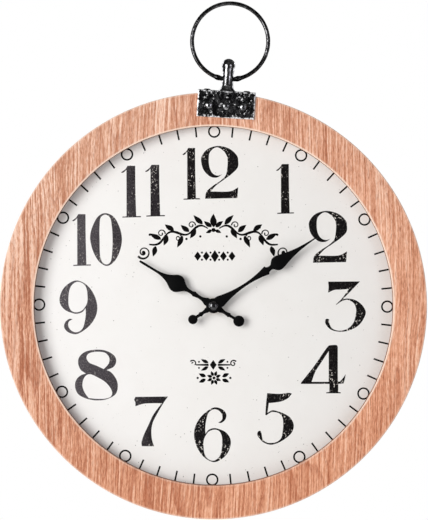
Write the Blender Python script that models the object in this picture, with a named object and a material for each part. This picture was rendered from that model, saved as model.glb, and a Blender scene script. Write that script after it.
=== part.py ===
# Round wooden wall clock with an iron bracket, a hanging ring and a quartz movement.
# All dimensions below are in millimetres. The clock's front looks along -Y, +Z is up, +X is to the
# right as seen from the front. The origin is the axis of the wall screw in the keyhole hanger,
# on the wall plane y = 0.
import math

import bmesh
import bpy
from mathutils import Matrix, Vector
from mathutils.geometry import tessellate_polygon

for old in list(bpy.data.objects):
    bpy.data.objects.remove(old, do_unlink=True)

# ------------------------------------------------------------------ driving dimensions (mm)
MM = 0.001
GAP = 0.3                    # clearance between neighbouring pieces

# wooden case
FRAME_R = 203.0              # outer radius of the frame
FACE_INNER_R = 170.9         # inner radius of the front ring
RIM_INNER_R = 182.0          # inner radius of the rim behind it
DEPTH = 42.0                 # wall to front face
FACE_T = 12.7                # thickness of the front ring
EDGE_ROUND = 0.8             # easing of the front ring's edges
FRAME_STEPS = 72             # facets round the frame

# dial
PAPER_R, PAPER_T = 181.0, 0.4
BOARD_R, BOARD_T = 181.4, 5.0
BOARD_SCREW_R = 176.2        # pitch circle of the six board screws

# hanger, in coordinates whose origin is the wall screw
CENTRE_Z = -196.5            # clock centre below the wall screw
PLATE_HALF_W = 17.0
PLATE_LOW, PLATE_HIGH = -13.0, 3.9
PLATE_T = 1.5
PLATE_BACK_Y = -1.5          # the plate is let in, so its screws stay below the wall plane
SLOT_HALF_W = 2.4
ENTRY_R, ENTRY_DROP = 4.3, 7.9
HANGER_SCREW_X = 12.4
HANGER_SCREW_Z = -5.0

# bracket, post and ring, on an axis turned clockwise from twelve o'clock
BRACKET_TURN = 3.6           # degrees
STRAP_HALF_W = 27.6
STRAP_LOW_R = 178.7
STRAP_T = 1.5
STRAP_BACK_Y = -14.0
RIVET_PITCH = 16.3
RIVET_R_POS = 190.3
RIVET_HEAD_R, RIVET_HEAD_H = 4.1, 2.6
POST_Y = -24.0
BALL_R, BALL_POS = 6.5, 230.0
BARREL_R = 5.6
FOOT_R = 8.3
RING_MEAN_R = 36.4
RING_WIRE_R = 2.0
RING_LOW = 216.7             # where the wire's axis crosses the post
RING_HOLE_R = 2.75
RING_AXIS = RING_LOW + 0.22

# movement, coordinates relative to the hand axis
CASE_HALF = 28.0             # outside half width and half height
CASE_WALL = 1.2
CASE_FRONT_Y, CASE_SPLIT_Y, CASE_BACK_Y = -21.4, -17.2, -5.4
BUSH_R, BUSH_BORE_R = 4.0, 2.9
PIPE_R, PIPE_BORE_R = 2.5, 1.95
ARBOR_R, ARBOR_TIP_R = 1.6, 1.4

# hands (length from the axis)
MINUTE_LEN, MINUTE_ANGLE = 118.4, 56.4
HOUR_LEN, HOUR_ANGLE = 82.3, 301.2
MINUTE_Y = (-37.9, -37.3)
HOUR_Y = (-35.3, -34.7)

# gear train: module, teeth
MOTION_MOD = 0.5
TRAIN_MOD = 0.25
THIRD_MOD = 9.0 / 34.0
ROTOR_MOD = 0.3


def polar(r, degrees, centre=(0.0, 0.0)):
    a = math.radians(degrees)
    return (centre[0] + r * math.cos(a), centre[1] + r * math.sin(a))


# each arbor stands at the sum of the two pitch radii from the one that drives it
MINUTE_WHEEL_POS = polar((10 + 30) * MOTION_MOD / 2, 150.0)
SETTING_POS = polar((30 + 10) * MOTION_MOD / 2, 165.0, MINUTE_WHEEL_POS)
THIRD_POS = polar((64 + 8) * TRAIN_MOD / 2, 30.0)
FIFTH_POS = polar((60 + 10) * TRAIN_MOD / 2, -37.0)
ROTOR_POS = polar((30 + 6) * ROTOR_MOD / 2, 8.5, FIFTH_POS)

# ------------------------------------------------------------------ helpers
COLLECTION = bpy.context.scene.collection


def material(name, rgb, rough, metal=0.0):
    m = bpy.data.materials.get(name)
    if m is None:
        m = bpy.data.materials.new(name)
        m.use_nodes = True
        s = m.node_tree.nodes["Principled BSDF"]
        s.inputs["Base Color"].default_value = (rgb[0], rgb[1], rgb[2], 1.0)
        s.inputs["Roughness"].default_value = rough
        s.inputs["Metallic"].default_value = metal
        m.diffuse_color = (rgb[0], rgb[1], rgb[2], 1.0)
    return m


OAK = material("oak_veneer", (0.74, 0.38, 0.24), 0.55)
MDF = material("fibreboard", (0.42, 0.27, 0.17), 0.8)
PAPER = material("dial_sheet", (0.88, 0.85, 0.80), 0.6)
IRON = material("black_iron", (0.02, 0.02, 0.022), 0.42, 1.0)
HAND_BLACK = material("hand_black", (0.012, 0.012, 0.012), 0.35)
STEEL = material("zinc_steel", (0.55, 0.56, 0.57), 0.35, 1.0)
BRASS = material("brass", (0.72, 0.52, 0.22), 0.3, 1.0)
BLACK_ABS = material("black_plastic", (0.018, 0.018, 0.02), 0.5)
WHITE_POM = material("white_plastic", (0.82, 0.82, 0.79), 0.4)
GREY_ABS = material("grey_plastic", (0.3, 0.3, 0.31), 0.5)
RUBBER = material("rubber", (0.02, 0.02, 0.02), 0.8)
COPPER = material("copper_wire", (0.7, 0.27, 0.12), 0.35, 1.0)
BOARD_GREEN = material("circuit_board", (0.05, 0.22, 0.10), 0.5)
EPOXY = material("epoxy", (0.01, 0.01, 0.01), 0.3)
FERRITE = material("magnet", (0.09, 0.09, 0.1), 0.45, 0.6)
CELL = material("cell_sleeve", (0.10, 0.16, 0.34), 0.35)


def empty(name, at, parent=None):
    e = bpy.data.objects.new(name, None)
    e.empty_display_size = 0.01
    COLLECTION.objects.link(e)
    e.location = Vector(at) * MM if parent is None else Vector(at) * MM
    if parent is not None:
        e.parent = parent
    return e


def world(x, y, z):
    """Clock coordinates (z from the clock centre) to the part's frame."""
    return Vector((x, y, z + CENTRE_Z))


def frame_of(obj):
    m = Matrix.Identity(4)
    chain = []
    while obj is not None:
        chain.append(Matrix.LocRotScale(obj.location, obj.rotation_euler, obj.scale))
        obj = obj.parent
    for step in reversed(chain):
        m = m @ step
    return m


def add(name, bm, mat, parent=None, smooth=True, angle=40.0):
    """Makes the object from a bmesh in part coordinates (mm); its origin is its parent's."""
    bmesh.ops.remove_doubles(bm, verts=bm.verts, dist=0.0005)
    bmesh.ops.recalc_face_normals(bm, faces=bm.faces)
    base = frame_of(parent) if parent is not None else Matrix.Identity(4)
    bmesh.ops.transform(bm, matrix=base.inverted() @ Matrix.Scale(MM, 4), verts=bm.verts)
    me = bpy.data.meshes.new(name)
    bm.to_mesh(me)
    bm.free()
    if smooth:
        me.shade_smooth()
        me.set_sharp_from_angle(angle=math.radians(angle))
    ob = bpy.data.objects.new(name, me)
    COLLECTION.objects.link(ob)
    if parent is not None:
        ob.parent = parent
    me.materials.append(mat)
    return ob


def cutter(name, bm, parent=None):
    ob = add(name, bm, MDF, parent=parent, smooth=False)
    ob.hide_render = True
    ob.display_type = 'WIRE'
    return ob


def combine(ob, other, how='DIFFERENCE'):
    mod = ob.modifiers.new(how.lower(), 'BOOLEAN')
    mod.operation = how
    mod.solver = 'EXACT'
    mod.object = other


def circle(r, steps, centre=(0.0, 0.0), start=0.0):
    return [(centre[0] + r * math.cos(start + 2 * math.pi * i / steps),
             centre[1] + r * math.sin(start + 2 * math.pi * i / steps)) for i in range(steps)]


def rect(x0, x1, z0, z1):
    return [(x0, z0), (x1, z0), (x1, z1), (x0, z1)]


def plate(outline, holes, y0, y1, bm=None):
    """A flat plate in the clock's plane, from y0 to y1, with holes; z is from the clock centre."""
    bm = bm or bmesh.new()
    loops = [outline] + list(holes)
    flat = [[Vector((p[0], p[1], 0.0)) for p in loop] for loop in loops]
    tris = tessellate_polygon(flat)
    points = [p for loop in loops for p in loop]
    front = [bm.verts.new(world(p[0], y0, p[1])) for p in points]
    back = [bm.verts.new(world(p[0], y1, p[1])) for p in points]
    for a, b, c in tris:
        bm.faces.new((front[a], front[b], front[c]))
        bm.faces.new((back[c], back[b], back[a]))
    start = 0
    for loop in loops:
        n = len(loop)
        for i in range(n):
            j = (i + 1) % n
            bm.faces.new((front[start + i], front[start + j], back[start + j], back[start + i]))
        start += n
    return bm


def turned(profile, steps, centre=(0.0, 0.0), bm=None):
    """A turned solid about a front-to-back axis. The profile is a list of (radius, y); a profile
    that starts and ends on the axis is closed there, any other is a closed loop."""
    bm = bm or bmesh.new()
    solid = profile[0][0] < 1e-9 and profile[-1][0] < 1e-9
    rings = []
    for r, y in profile:
        if r < 1e-9:
            rings.append([bm.verts.new(world(centre[0], y, centre[1]))])
        else:
            rings.append([bm.verts.new(world(centre[0] + r * math.cos(2 * math.pi * i / steps), y,
                                             centre[1] + r * math.sin(2 * math.pi * i / steps)))
                          for i in range(steps)])
    pairs = list(zip(rings, rings[1:]))
    if not solid:
        pairs.append((rings[-1], rings[0]))
    for a, b in pairs:
        for i in range(steps):
            j = (i + 1) % steps
            if len(a) == 1:
                bm.faces.new((a[0], b[i], b[j]))
            elif len(b) == 1:
                bm.faces.new((a[i], b[0], a[j]))
            else:
                bm.faces.new((a[i], b[i], b[j], a[j]))
    return bm


def pin(r, y0, y1, steps=16, centre=(0.0, 0.0), bm=None):
    return turned([(0.0, y0), (r, y0), (r, y1), (0.0, y1)], steps, centre, bm)


def tube(r_out, r_in, y0, y1, steps=16, centre=(0.0, 0.0), bm=None):
    return turned([(r_out, y0), (r_out, y1), (r_in, y1), (r_in, y0)], steps, centre, bm)


def box(x0, x1, y0, y1, z0, z1, bm=None):
    return plate(rect(x0, x1, z0, z1), [], y0, y1, bm)


def gear_outline(teeth, module, centre, phase):
    """Clock teeth with wide spaces, so meshing gears keep clear of each other: trapezoids on the
    coarse gears, and plain V teeth on the fine ones."""
    pitch_r = teeth * module / 2
    if module > 0.4:
        corners = ((-1.15, -0.24), (0.8, -0.08), (0.8, 0.08), (-1.15, 0.24))
    else:
        corners = ((0.85, 0.0), (-1.25, 0.5))
    step = 2 * math.pi / teeth
    out = []
    for i in range(teeth):
        for height, offset in corners:
            r = pitch_r + height * module
            a = phase + (i + offset) * step
            out.append((centre[0] + r * math.cos(a), centre[1] + r * math.sin(a)))
    return out


def turn_matrix():
    """From bracket coordinates (x along the strap, z outward) to the clock's plane."""
    return (Matrix.Translation(world(0, 0, 0)) @
            Matrix.Rotation(math.radians(BRACKET_TURN), 4, 'Y') @
            Matrix.Translation(-world(0, 0, 0)))


def on_bracket(bm):
    bmesh.ops.transform(bm, matrix=turn_matrix(), verts=bm.verts)
    return bm


def upright(profile, steps, at):
    """A turned solid about an axis that points away from the clock centre: (radius, distance)."""
    bm = bmesh.new()
    x, y = at
    rings = []
    for r, h in profile:
        if r < 1e-9:
            rings.append([bm.verts.new(world(x, y, h))])
        else:
            rings.append([bm.verts.new(world(x + r * math.cos(2 * math.pi * i / steps),
                                             y + r * math.sin(2 * math.pi * i / steps), h))
                          for i in range(steps)])
    for a, b in zip(rings, rings[1:]):
        for i in range(steps):
            j = (i + 1) % steps
            if len(a) == 1:
                bm.faces.new((a[0], b[i], b[j]))
            elif len(b) == 1:
                bm.faces.new((a[i], b[0], a[j]))
            else:
                bm.faces.new((a[i], b[i], b[j], a[j]))
    return bm


def crosswise(r, x0, x1, at, steps=16):
    """A round bar along the strap's length: centre at (y, z)."""
    bm = bmesh.new()
    ends = []
    for x in (x0, x1):
        ends.append([bm.verts.new(world(x, at[0] + r * math.cos(2 * math.pi * i / steps),
                                        at[1] + r * math.sin(2 * math.pi * i / steps)))
                     for i in range(steps)])
    bm.faces.new(ends[0])
    bm.faces.new(ends[1])
    for i in range(steps):
        j = (i + 1) % steps
        bm.faces.new((ends[0][i], ends[0][j], ends[1][j], ends[1][i]))
    return bm


# ------------------------------------------------------------------ wooden case
face_back = -DEPTH + FACE_T
e = EDGE_ROUND
face = add("frame_face_ring", turned([
    (FRAME_R, face_back), (FRAME_R, -DEPTH + e), (FRAME_R - e, -DEPTH), (FACE_INNER_R + e, -DEPTH),
    (FACE_INNER_R, -DEPTH + e), (FACE_INNER_R, face_back)], FRAME_STEPS), OAK)

for i in range(6):
    combine(face, cutter("board_pilot_%d" % (i + 1), pin(
        1.5, -37.0, face_back + 3, 8, polar(BOARD_SCREW_R, 30 + 60 * i))))

rim = add("frame_rim_ring", turned([
    (FRAME_R, 0.0), (FRAME_R, face_back + GAP), (RIM_INNER_R, face_back + GAP), (RIM_INNER_R, 0.0)],
    FRAME_STEPS), MDF)

hz = -CENTRE_Z                                   # wall screw's height above the clock centre
mortise = cutter("mortise_cutter", box(-PLATE_HALF_W - 0.4, PLATE_HALF_W + 0.4,
                                       PLATE_BACK_Y - PLATE_T - GAP, 5.0,
                                       hz + PLATE_LOW - 0.4, hz + PLATE_HIGH + 0.4))
head_pocket = cutter("head_pocket_cutter",
                     box(-5.6, 5.6, -12.0, 3.0, hz - ENTRY_DROP - 4.6, hz + 4.2))
combine(rim, mortise)
combine(rim, head_pocket)
for side in (-1, 1):
    hole = cutter("hanger_pilot_%s" % ("left" if side < 0 else "right"),
                  pin(1.5, -15.0, 2.0, 12, (side * HANGER_SCREW_X, hz + HANGER_SCREW_Z)))
    combine(rim, hole)

# ------------------------------------------------------------------ dial
# the sheet and the board are pierced at the centre for the movement's threaded bush, and near
# their edge for the six screws that pull both against the back of the front ring
paper_holes = [circle(BUSH_R + 0.4, 24)]
board_holes = [circle(BUSH_R + 0.4, 24)]
for i in range(6):
    paper_holes.append(circle(1.8, 10, polar(BOARD_SCREW_R, 30 + 60 * i)))
    board_holes.append(circle(2.1, 12, polar(BOARD_SCREW_R, 30 + 60 * i)))
add("dial_paper", plate(circle(PAPER_R, FRAME_STEPS), paper_holes, -28.7, -28.7 + PAPER_T), PAPER)
add("dial_board", plate(circle(BOARD_R, FRAME_STEPS), board_holes, -28.0, -28.0 + BOARD_T), MDF)
for i in range(6):
    add("board_screw_%d" % (i + 1), turned([
        (0.0, -36.6), (1.1, -35.2), (1.1, -22.7), (3.9, -22.7), (3.6, -21.4), (0.0, -20.4)], 10,
        polar(BOARD_SCREW_R, 30 + 60 * i)), STEEL)

# ------------------------------------------------------------------ hanger
slot_top = hz
outline = rect(-PLATE_HALF_W, PLATE_HALF_W, hz + PLATE_LOW, hz + PLATE_HIGH)
keyhole = []
half_open = math.asin(SLOT_HALF_W / ENTRY_R)
for i in range(17):                              # entry circle, open at its top
    a = math.pi / 2 - half_open - i * (2 * math.pi - 2 * half_open) / 16
    keyhole.append((ENTRY_R * math.cos(a), hz - ENTRY_DROP + ENTRY_R * math.sin(a)))
for i in range(9):                               # round top of the slot
    a = math.pi - i * math.pi / 8
    keyhole.append((SLOT_HALF_W * math.cos(a), slot_top + SLOT_HALF_W * math.sin(a)))
screw_holes = [circle(1.8, 12, (s * HANGER_SCREW_X, hz + HANGER_SCREW_Z)) for s in (-1, 1)]
add("hanger_plate", plate(outline, [keyhole] + screw_holes, PLATE_BACK_Y - PLATE_T, PLATE_BACK_Y),
    STEEL)
for side, label in ((-1, "left"), (1, "right")):
    add("hanger_screw_" + label, turned([
        (0.0, -14.4), (1.2, -13.2), (1.2, PLATE_BACK_Y + GAP), (3.1, PLATE_BACK_Y + GAP),
        (2.5, PLATE_BACK_Y + 1.0), (0.0, PLATE_BACK_Y + 1.3)], 10,
        (side * HANGER_SCREW_X, hz + HANGER_SCREW_Z)), STEEL)

# ------------------------------------------------------------------ bracket, post and ring
front_y = -DEPTH - GAP
strap_top = FRAME_R + GAP + STRAP_T
bm = bmesh.new()
section = [(front_y - STRAP_T, STRAP_LOW_R), (front_y, STRAP_LOW_R), (front_y, FRAME_R + GAP),
           (STRAP_BACK_Y, FRAME_R + GAP), (STRAP_BACK_Y, strap_top),
           (front_y - STRAP_T + 0.6, strap_top), (front_y - STRAP_T, strap_top - 0.6)]
ends = [[bm.verts.new(world(x, y, z)) for y, z in section] for x in (-STRAP_HALF_W, STRAP_HALF_W)]
bm.faces.new(ends[0])
bm.faces.new(ends[1])
for i in range(len(section)):
    j = (i + 1) % len(section)
    bm.faces.new((ends[0][i], ends[0][j], ends[1][j], ends[1][i]))
strap = add("bracket_strap", on_bracket(bm), IRON, smooth=False)
for k in (-1, 0, 1):
    hole = cutter("rivet_hole_%d" % (k + 1), on_bracket(
        pin(1.4, front_y - 5, -36.0, 12, (k * RIVET_PITCH, RIVET_R_POS))))
    combine(strap, hole)
    combine(face, hole)
    name = "bracket_rivet_" + ("left", "centre", "right")[k + 1]
    y = front_y - STRAP_T - 0.05 - GAP
    dome = [(0.0, y - RIVET_HEAD_H)]
    for i in range(1, 4):
        t = i / 3 * math.pi / 2
        dome.append((RIVET_HEAD_R * math.sin(t), y - RIVET_HEAD_H * math.cos(t)))
    dome += [(1.05, y), (1.05, -37.4), (0.0, -36.4)]
    add(name, on_bracket(turned(dome, 12, (k * RIVET_PITCH, RIVET_R_POS))), IRON)
STRAP_SCREW_X = 19.0
for side, label in ((-1, "left"), (1, "right")):
    hole = cutter("strap_hole_" + label, on_bracket(
        upright([(0.0, 190.0), (1.7, 190.0), (1.7, 208.0), (0.0, 208.0)], 12,
                (side * STRAP_SCREW_X, POST_Y))))
    combine(strap, hole)
    combine(rim, hole)
hole = cutter("stud_hole", on_bracket(
    upright([(0.0, 187.5), (3.4, 187.5), (3.4, 208.0), (0.0, 208.0)], 16, (0.0, POST_Y))))
combine(strap, hole)
combine(rim, hole)

foot = strap_top + GAP
post_profile = [(0.0, 188.0), (2.6, 188.5), (3.05, 189.2), (3.05, foot),
                (FOOT_R, foot), (FOOT_R, foot + 0.7), (6.9, foot + 1.7), (6.15, foot + 3.6),
                (BARREL_R, foot + 6.6), (5.5, 220.5), (5.55, 223.6), (6.15, 226.5)]
for i in range(1, 8):
    t = math.radians(-22 + i * 16)
    post_profile.append((BALL_R * math.cos(t), BALL_POS + BALL_R * math.sin(t)))
post_profile[-1] = (0.0, BALL_POS + BALL_R)
post = add("ring_post", on_bracket(upright(post_profile, 16, (0.0, POST_Y))), IRON)
combine(post, cutter("ring_hole", on_bracket(crosswise(RING_HOLE_R, -12, 12, (POST_Y, RING_AXIS), 12))))

for side, label in ((-1, "left"), (1, "right")):
    add("strap_screw_" + label, on_bracket(upright(
        [(0.0, 190.6), (1.3, 191.8), (1.3, strap_top + GAP), (3.4, strap_top + GAP),
         (3.0, strap_top + 1.3), (0.0, strap_top + 1.7)], 12, (side * STRAP_SCREW_X, POST_Y))), IRON)

t = math.radians(BRACKET_TURN)
ring_pivot = world(RING_AXIS * math.sin(t), POST_Y, RING_AXIS * math.cos(t))
ring_axis_frame = empty("ring_swing_axis", ring_pivot)
ring_axis_frame.rotation_euler = (0.0, t, 0.0)
bm = bmesh.new()
around, across = 48, 10
loops = []
for i in range(around):
    a = 2 * math.pi * i / around - math.pi / 2
    travel = abs(math.atan2(math.sin(a + math.pi / 2), math.cos(a + math.pi / 2))) * RING_MEAN_R
    swell = 1.0 + 0.38 * math.exp(-((travel - 9.6) / 2.6) ** 2)      # the stops beside the post
    w = RING_WIRE_R * swell
    cx, cz = RING_MEAN_R * math.cos(a), RING_LOW + RING_MEAN_R * (1 + math.sin(a))
    loop = []
    for k in range(across):
        b = 2 * math.pi * k / across
        loop.append(bm.verts.new(world(cx + w * math.cos(b) * math.cos(a), POST_Y + w * math.sin(b),
                                       cz + w * math.cos(b) * math.sin(a))))
    loops.append(loop)
for i in range(around):
    a, b = loops[i], loops[(i + 1) % around]
    for k in range(across):
        m = (k + 1) % across
        bm.faces.new((a[k], b[k], b[m], a[m]))
add("hanging_ring", on_bracket(bm), IRON, parent=ring_axis_frame)

# ------------------------------------------------------------------ movement: fixed pieces
H, W = CASE_HALF, CASE_WALL
hand_axis = empty("minute_axis", world(0, 0, 0))
hour_axis = empty("hour_axis", world(0, 0, 0))
seconds_axis = empty("seconds_axis", world(0, 0, 0))


def rounded(half_w, half_h, r, n=4, centre=(0.0, 0.0)):
    out = []
    for cx, cz, start in ((half_w - r, half_h - r, 0), (-half_w + r, half_h - r, 90),
                          (-half_w + r, -half_h + r, 180), (half_w - r, -half_h + r, 270)):
        for i in range(n):
            a = math.radians(start + 90 * i / (n - 1))
            out.append((centre[0] + cx + r * math.cos(a), centre[1] + cz + r * math.sin(a)))
    return out


# front cover: a shallow tray that faces the wall, pierced by the bush
front_cover = add("movement_front_cover", plate(rounded(H, H, 3.0), [circle(4.35, 20)],
                                                CASE_FRONT_Y, CASE_SPLIT_Y), BLACK_ABS,
                  smooth=False)
combine(front_cover, cutter("front_tray_cutter", plate(rounded(H - W, H - W, 2.0), [],
                                                       CASE_FRONT_Y + W, CASE_SPLIT_Y + 3)))

# rear cover: a deeper tray, with the battery bay open to the back and a hole for the setting knob;
# the cell lies on the front cover's floor
BAY = (-26.8, 26.8, -26.8, -12.3)                # x0, x1, z0, z1 of the battery bay
rear_cover = add("movement_rear_cover", plate(rounded(H, H, 3.0), [], CASE_SPLIT_Y + GAP,
                                              CASE_BACK_Y), BLACK_ABS, smooth=False)
works_room = plate([(-H + W, -11.2), (H - W, -11.2), (H - W, H - W - 2.0), (H - W - 2.0, H - W),
                    (-H + W + 2.0, H - W), (-H + W, H - W - 2.0)], [], CASE_SPLIT_Y - 3,
                   CASE_BACK_Y - W)
combine(rear_cover, cutter("works_room_cutter", works_room))
combine(rear_cover, cutter("battery_bay_cutter",
                           box(BAY[0], BAY[1], CASE_SPLIT_Y - 3, CASE_BACK_Y + 3, BAY[2], BAY[3])))
combine(rear_cover, cutter("knob_hole_cutter", pin(2.2, CASE_BACK_Y - 3, CASE_BACK_Y + 3, 16,
                                                   SETTING_POS)))

# middle plate: carries the wheels' arbors
add("middle_plate", plate(rounded(26.3, 18.4, 1.5, centre=(0.0, 7.5)),
                          [circle(2.1, 16), circle(1.2, 12, SETTING_POS)],
                          -15.9, -15.1), WHITE_POM, smooth=False)

add("threaded_bush", turned([(BUSH_R, -33.0), (BUSH_R, -19.9), (5.6, -19.9), (5.6, -19.0),
                             (BUSH_BORE_R, -19.0), (BUSH_BORE_R, -33.0)], 16), BRASS)
add("rubber_washer", tube(9.0, 4.4, -22.7, -21.7, 20), RUBBER)
add("dial_washer", tube(6.8, 4.4, -29.5, -29.0, 20), BRASS)
nut = circle(6.35, 6, start=math.pi / 6)
add("dial_nut", plate(nut, [circle(4.3, 20)], -32.0, -29.8), BRASS, smooth=False)

# stator: a flat C-shaped plate round the rotor; its two arms reach the coil's core
rx, rz = ROTOR_POS
ARM_LOW = (rz - 3.2, rz - 0.4)
ARM_HIGH = (9.4, 12.6)
stator = [(rx - 4.6, rz - 3.6), (rx - 3.2, rz - 5.0), (rx + 3.0, rz - 5.0), (rx + 6.0, ARM_LOW[0]),
          (24.6, ARM_LOW[0]), (24.6, ARM_LOW[1]), (rx + 6.6, ARM_LOW[1]), (rx + 4.8, rz + 0.6),
          (rx + 4.4, rz + 4.0), (rx + 3.6, ARM_HIGH[0]), (24.6, ARM_HIGH[0]), (24.6, ARM_HIGH[1]),
          (rx - 0.6, ARM_HIGH[1]), (rx - 0.6, rz + 5.6), (rx - 3.2, rz + 5.0),
          (rx - 4.6, rz + 3.6)]
add("stator_plate", plate(stator, [circle(3.6, 20, ROTOR_POS)], -9.3, -8.5), STEEL, smooth=False)

# coil: core in front of the stator's arms, bobbin round it, winding round the bobbin
CORE_X, CORE_Y = 21.3, -10.2
add("coil_core", box(CORE_X - 1.1, CORE_X + 1.1, CORE_Y - 0.6, CORE_Y + 0.6, ARM_LOW[0] + 0.1,
                     ARM_HIGH[1] - 0.1), STEEL, smooth=False)
coil_low, coil_high = ARM_LOW[1] + 0.5, ARM_HIGH[0] - 0.5
bobbin = add("coil_bobbin", upright([(0.0, coil_low), (3.2, coil_low), (3.2, coil_low + 0.7),
                                     (1.75, coil_low + 0.7), (1.75, coil_high - 0.7),
                                     (3.2, coil_high - 0.7), (3.2, coil_high), (0.0, coil_high)], 14,
                                    (CORE_X, CORE_Y)), WHITE_POM)
combine(bobbin, cutter("bobbin_bore", box(CORE_X - 1.35, CORE_X + 1.35, CORE_Y - 0.85,
                                          CORE_Y + 0.85, coil_low - 3, coil_high + 3)))
winding = add("coil_winding", upright([(0.0, coil_low + 1.0), (2.8, coil_low + 1.0),
                                       (2.8, coil_high - 1.0), (0.0, coil_high - 1.0)], 14,
                                      (CORE_X, CORE_Y)), COPPER)
combine(winding, cutter("winding_bore", upright([(0.0, -20.0), (2.05, -20.0), (2.05, 20.0),
                                                 (0.0, 20.0)], 14, (CORE_X, CORE_Y))))

add("circuit_board", plate([(-25.6, -10.4), (-8.4, -10.4), (-8.4, -4.0), (-12.0, 0.6),
                            (-25.6, 0.6)], [], -9.2, -8.4), BOARD_GREEN, smooth=False)
blob = [(0.0, -8.1), (2.6, -8.1)]
for i in range(1, 4):
    a = i / 4 * math.pi / 2
    blob.append((2.6 * math.cos(a), -8.1 + 1.1 * math.sin(a)))
blob.append((0.0, -7.0))
add("chip_cover", turned(blob, 14, (-13.6, -6.2)), EPOXY)


def lying(profile, steps, at, name, mat, parent=None):
    """A turned solid that lies along X: (radius, x), centre line at (y, z)."""
    bm = bmesh.new()
    rings = []
    for r, x in profile:
        if r < 1e-9:
            rings.append([bm.verts.new(world(x, at[0], at[1]))])
        else:
            rings.append([bm.verts.new(world(x, at[0] + r * math.cos(2 * math.pi * i / steps),
                                             at[1] + r * math.sin(2 * math.pi * i / steps)))
                          for i in range(steps)])
    for a, b in zip(rings, rings[1:]):
        for i in range(steps):
            j = (i + 1) % steps
            if len(a) == 1:
                bm.faces.new((a[0], b[i], b[j]))
            elif len(b) == 1:
                bm.faces.new((a[i], b[0], a[j]))
            else:
                bm.faces.new((a[i], b[i], b[j], a[j]))
    return add(name, bm, mat, parent=parent)


lying([(0.0, -24.6), (0.9, -24.6), (1.05, -24.3), (1.05, -18.6), (0.0, -18.6)], 12, (-10.6, -2.0),
      "quartz_crystal", STEEL)

# ------------------------------------------------------------------ battery and its contacts
CELL_Y, CELL_Z, CELL_R = CASE_FRONT_Y + W + GAP + 7.1, -19.55, 7.1
slide = empty("battery_slide_axis", world(0.0, CELL_Y, CELL_Z))
lying([(0.0, -24.2), (6.4, -24.2), (CELL_R, -23.7), (CELL_R, 24.4), (6.5, 24.9), (2.75, 24.9),
       (2.75, 25.9), (0.0, 25.9)], 18, (CELL_Y, CELL_Z), "battery_cell", CELL, parent=slide)
add("positive_contact", box(26.2, 26.5, CELL_Y - 4.6, CELL_Y + 4.4, CELL_Z - 3.5, CELL_Z + 3.5),
    STEEL, smooth=False)
# negative spring: a conical coil pressed nearly flat between the bay's wall and the cell
bm = bmesh.new()
turns, per_turn, wire, sides = 2.5, 10, 0.28, 5
count = int(turns * per_turn)
loops = []
for i in range(count + 1):
    u = i / count
    a = 2 * math.pi * turns * u
    r = 5.2 - 3.2 * u
    x = -26.2 + 1.35 * u
    out = Vector((0.0, math.cos(a), math.sin(a)))
    along = Vector((1.35 / count, 0.0, 0.0)) + (2 * math.pi * turns / count) * r * Vector(
        (0.0, -math.sin(a), math.cos(a)))
    side = along.normalized().cross(out).normalized()
    mid = world(x, CELL_Y, CELL_Z) + r * out
    loops.append([bm.verts.new(mid + wire * (math.cos(b) * out + math.sin(b) * side))
                  for b in (2 * math.pi * k / sides for k in range(sides))])
for a, b in zip(loops, loops[1:]):
    for k in range(sides):
        m = (k + 1) % sides
        bm.faces.new((a[k], b[k], b[m], a[m]))
bm.faces.new(loops[0])
bm.faces.new(loops[-1])
add("negative_spring", bm, STEEL)

# ------------------------------------------------------------------ wheels


def wheel(name, centre, axis_empty, arbor, gears, mat, bore=None):
    """An arbor or a hub with gears on it, joined into one moulded piece.
    arbor: turned profile; gears: (teeth, module, phase, y0, y1)."""
    ob = add(name, turned(arbor, 14, centre), mat, parent=axis_empty)
    for k, (teeth, module, phase, y0, y1) in enumerate(gears):
        blank = cutter("%s_teeth_%d" % (name, k), plate(gear_outline(teeth, module, centre, phase),
                                                        [], y0, y1), parent=axis_empty)
        combine(ob, blank, 'UNION')
    if bore is not None:
        combine(ob, cutter(name + "_bore", pin(bore[0], bore[1], bore[2], 16, centre),
                           parent=axis_empty))
    return ob


def facing(teeth, at, target, gap):
    """Phase of a gear whose tooth (gap False) or space (gap True) points at a neighbour."""
    a = math.atan2(target[1] - at[1], target[0] - at[0])
    return a + (math.pi / teeth if gap else 0.0)


def mesh_phase(driver_teeth, driver_phase, driver_at, teeth, at):
    """Phase of a gear so that its spaces receive the driver's teeth on the line of centres."""
    a = math.atan2(at[1] - driver_at[1], at[0] - driver_at[0])
    # how far the driver's nearest tooth is past the line of centres, in tooth steps
    steps = (a - driver_phase) / (2 * math.pi / driver_teeth)
    off = (steps - round(steps))
    return a + math.pi + math.pi / teeth + (-off) * (2 * math.pi / teeth) * -1.0


ORIGIN = (0.0, 0.0)
minute_wheel_axis = empty("minute_wheel_axis", world(MINUTE_WHEEL_POS[0], 0, MINUTE_WHEEL_POS[1]))
setting_axis = empty("setting_axis", world(SETTING_POS[0], 0, SETTING_POS[1]))
third_axis = empty("third_axis", world(THIRD_POS[0], 0, THIRD_POS[1]))
fifth_axis = empty("fifth_axis", world(FIFTH_POS[0], 0, FIFTH_POS[1]))
rotor_axis = empty("rotor_axis", world(ROTOR_POS[0], 0, ROTOR_POS[1]))

# motion work in front of the middle plate
cannon_phase = facing(10, ORIGIN, MINUTE_WHEEL_POS, False)
minute_wheel_phase = facing(30, MINUTE_WHEEL_POS, ORIGIN, True)
minute_pinion_phase = facing(8, MINUTE_WHEEL_POS, ORIGIN, False)
hour_phase = facing(32, ORIGIN, MINUTE_WHEEL_POS, True)
setting_phase = mesh_phase(30, minute_wheel_phase, MINUTE_WHEEL_POS, 10, SETTING_POS)
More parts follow.
